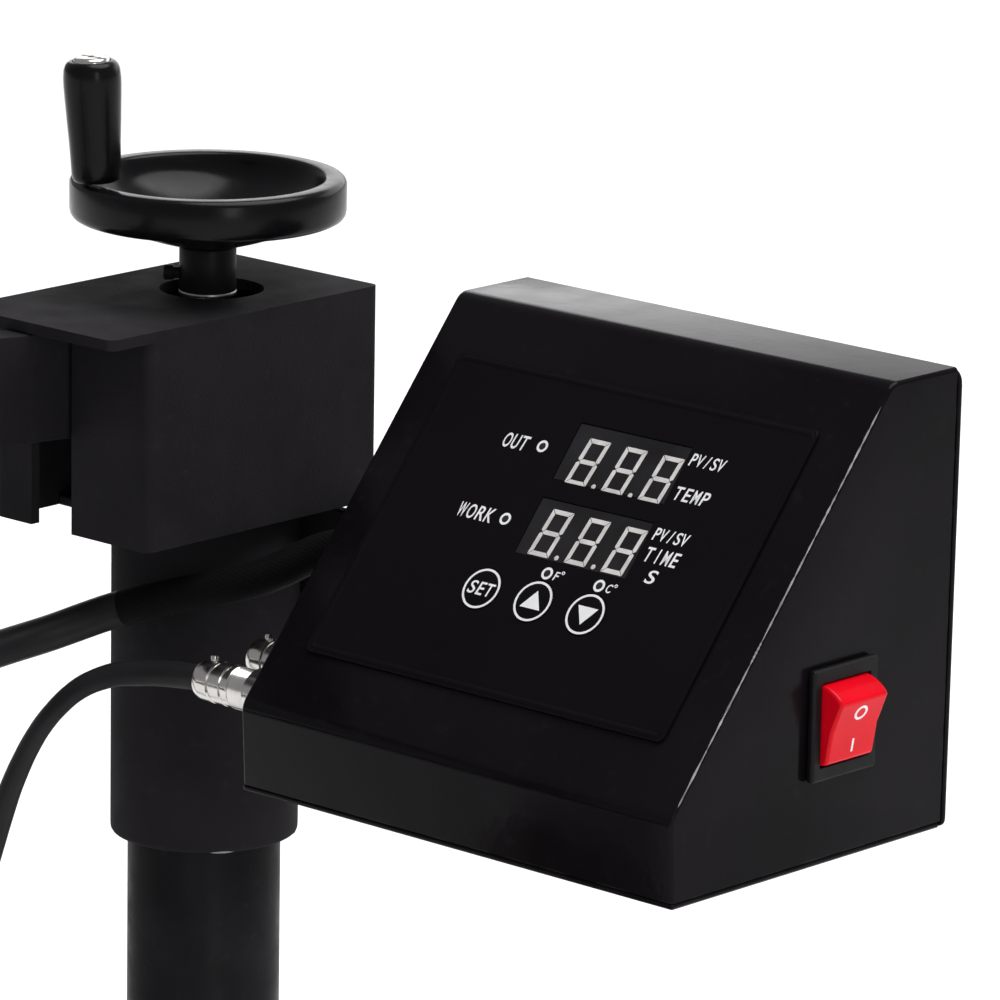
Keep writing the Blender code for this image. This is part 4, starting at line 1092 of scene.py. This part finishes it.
def make_column():
    sleeve = [(0.0, 0.3509), (0.0250, 0.3509), (0.0256, 0.3507), (0.0260, 0.3501),
              (0.0260, 0.2600), (0.0259, 0.2592), (0.0256, 0.2587), (0.0251, 0.2584),
              (0.0216, 0.2584), (0.0216, 0.3469), (0.0, 0.3469)]
    turned("swing_sleeve", sleeve, 50.0, 112)
    # Bare metal shows in four short arcs where the sleeve's lower edge has rubbed.
    arcs = []
    for start, end in ((-168.0, -150.0), (-42.0, -26.0), (30.0, 52.0), (120.0, 141.0)):
        rings = []
        for i in range(25):
            a = math.radians(start + (end - start) * i / 24)
            thin = 0.00030 * math.sin(math.pi * i / 24) + 0.00002
            rings.append([Vector((r * math.cos(a), r * math.sin(a), 0.2586 + h))
                          for r, h in ((0.02545, -thin), (0.0257, 0.0), (0.02575, thin),
                                       (0.0252, 0.0))])
        arcs.append(loft("arc", rings))
    merged(arcs, "sleeve_wear", METAL_GREY, "head")
    post = [(0.0212, 0.3446), (0.0212, 0.0570), (0.0216, 0.0556), (0.0226, 0.0537),
            (0.0240, 0.0513), (0.0250, 0.0505), (0.0284, 0.0503), (0.0289, 0.0500),
            (0.0290, 0.0495), (0.0290, 0.0423), (0.0180, 0.0423), (0.0180, 0.3450),
            (0.0208, 0.3450)]
    turned("column_post", post, 50.0, 96, ring=True)


# ---------------------------------------------------------------- fixings
def bolt(name, place, axis, radius, height, body, material=BLACKED):
    """A socket-headed button bolt lying on a face."""
    socket = radius * 0.45
    profile = [(0.0, height * 0.35), (socket, height * 0.35), (socket, height * 0.94),
               (socket * 1.15, height), (radius * 0.62, height), (radius * 0.88, height * 0.74),
               (radius, height * 0.34), (radius, -0.0008), (0.0, -0.0008)]
    mesh = lathe(name, profile, steps=32)
    mesh.transform(Matrix.Translation(place)
                   @ Vector(axis).to_track_quat("Z", "Y").to_matrix().to_4x4())
    shade(add(name, mesh, material, body))


def make_fixings():
    for x, z in ((0.0870, 0.3060), (0.2270, 0.3060), (0.0870, 0.4160), (0.2270, 0.4160),
                 (0.1570, 0.3060), (0.1570, 0.4160)):
        bolt(f"cover_screw_{x}_{z}", (x, back_y(z) - 0.0004, z), (0, 1, 0), 0.0028, 0.0016,
             "head", STEEL)
    for x in (0.0900, 0.2240):
        for y in (-0.0600, 0.0290):
            bolt(f"floor_screw_{x}_{y}", (x, y, 0.3004), (0, 0, -1), 0.0026, 0.0012, "head",
                 STEEL)
    for k in range(4):
        a = math.radians(45 + 90 * k)
        bolt(f"post_bolt_{k}", (0.0256 * math.cos(a), 0.0256 * math.sin(a), 0.0503), (0, 0, 1),
             0.0023, 0.0016, "root")


# ---------------------------------------------------------------- order of work
bpy.context.scene.view_settings.view_transform = "Standard"
for make in (make_camera, make_lights, make_floor, make_leads, make_control_shell,
             make_rear_cover, make_film, make_windows, make_keys, make_panel_print,
             make_key_print, make_rocker, make_connectors, make_lead_gland, make_wheel,
             make_grip, make_head, make_column, make_fixings):
    make()
# Every CAD piece not yet replaced keeps its own shape, with its edges rounded.
for node, obj in nodes.items():
    if not obj.hide_render:
        rounded(node)
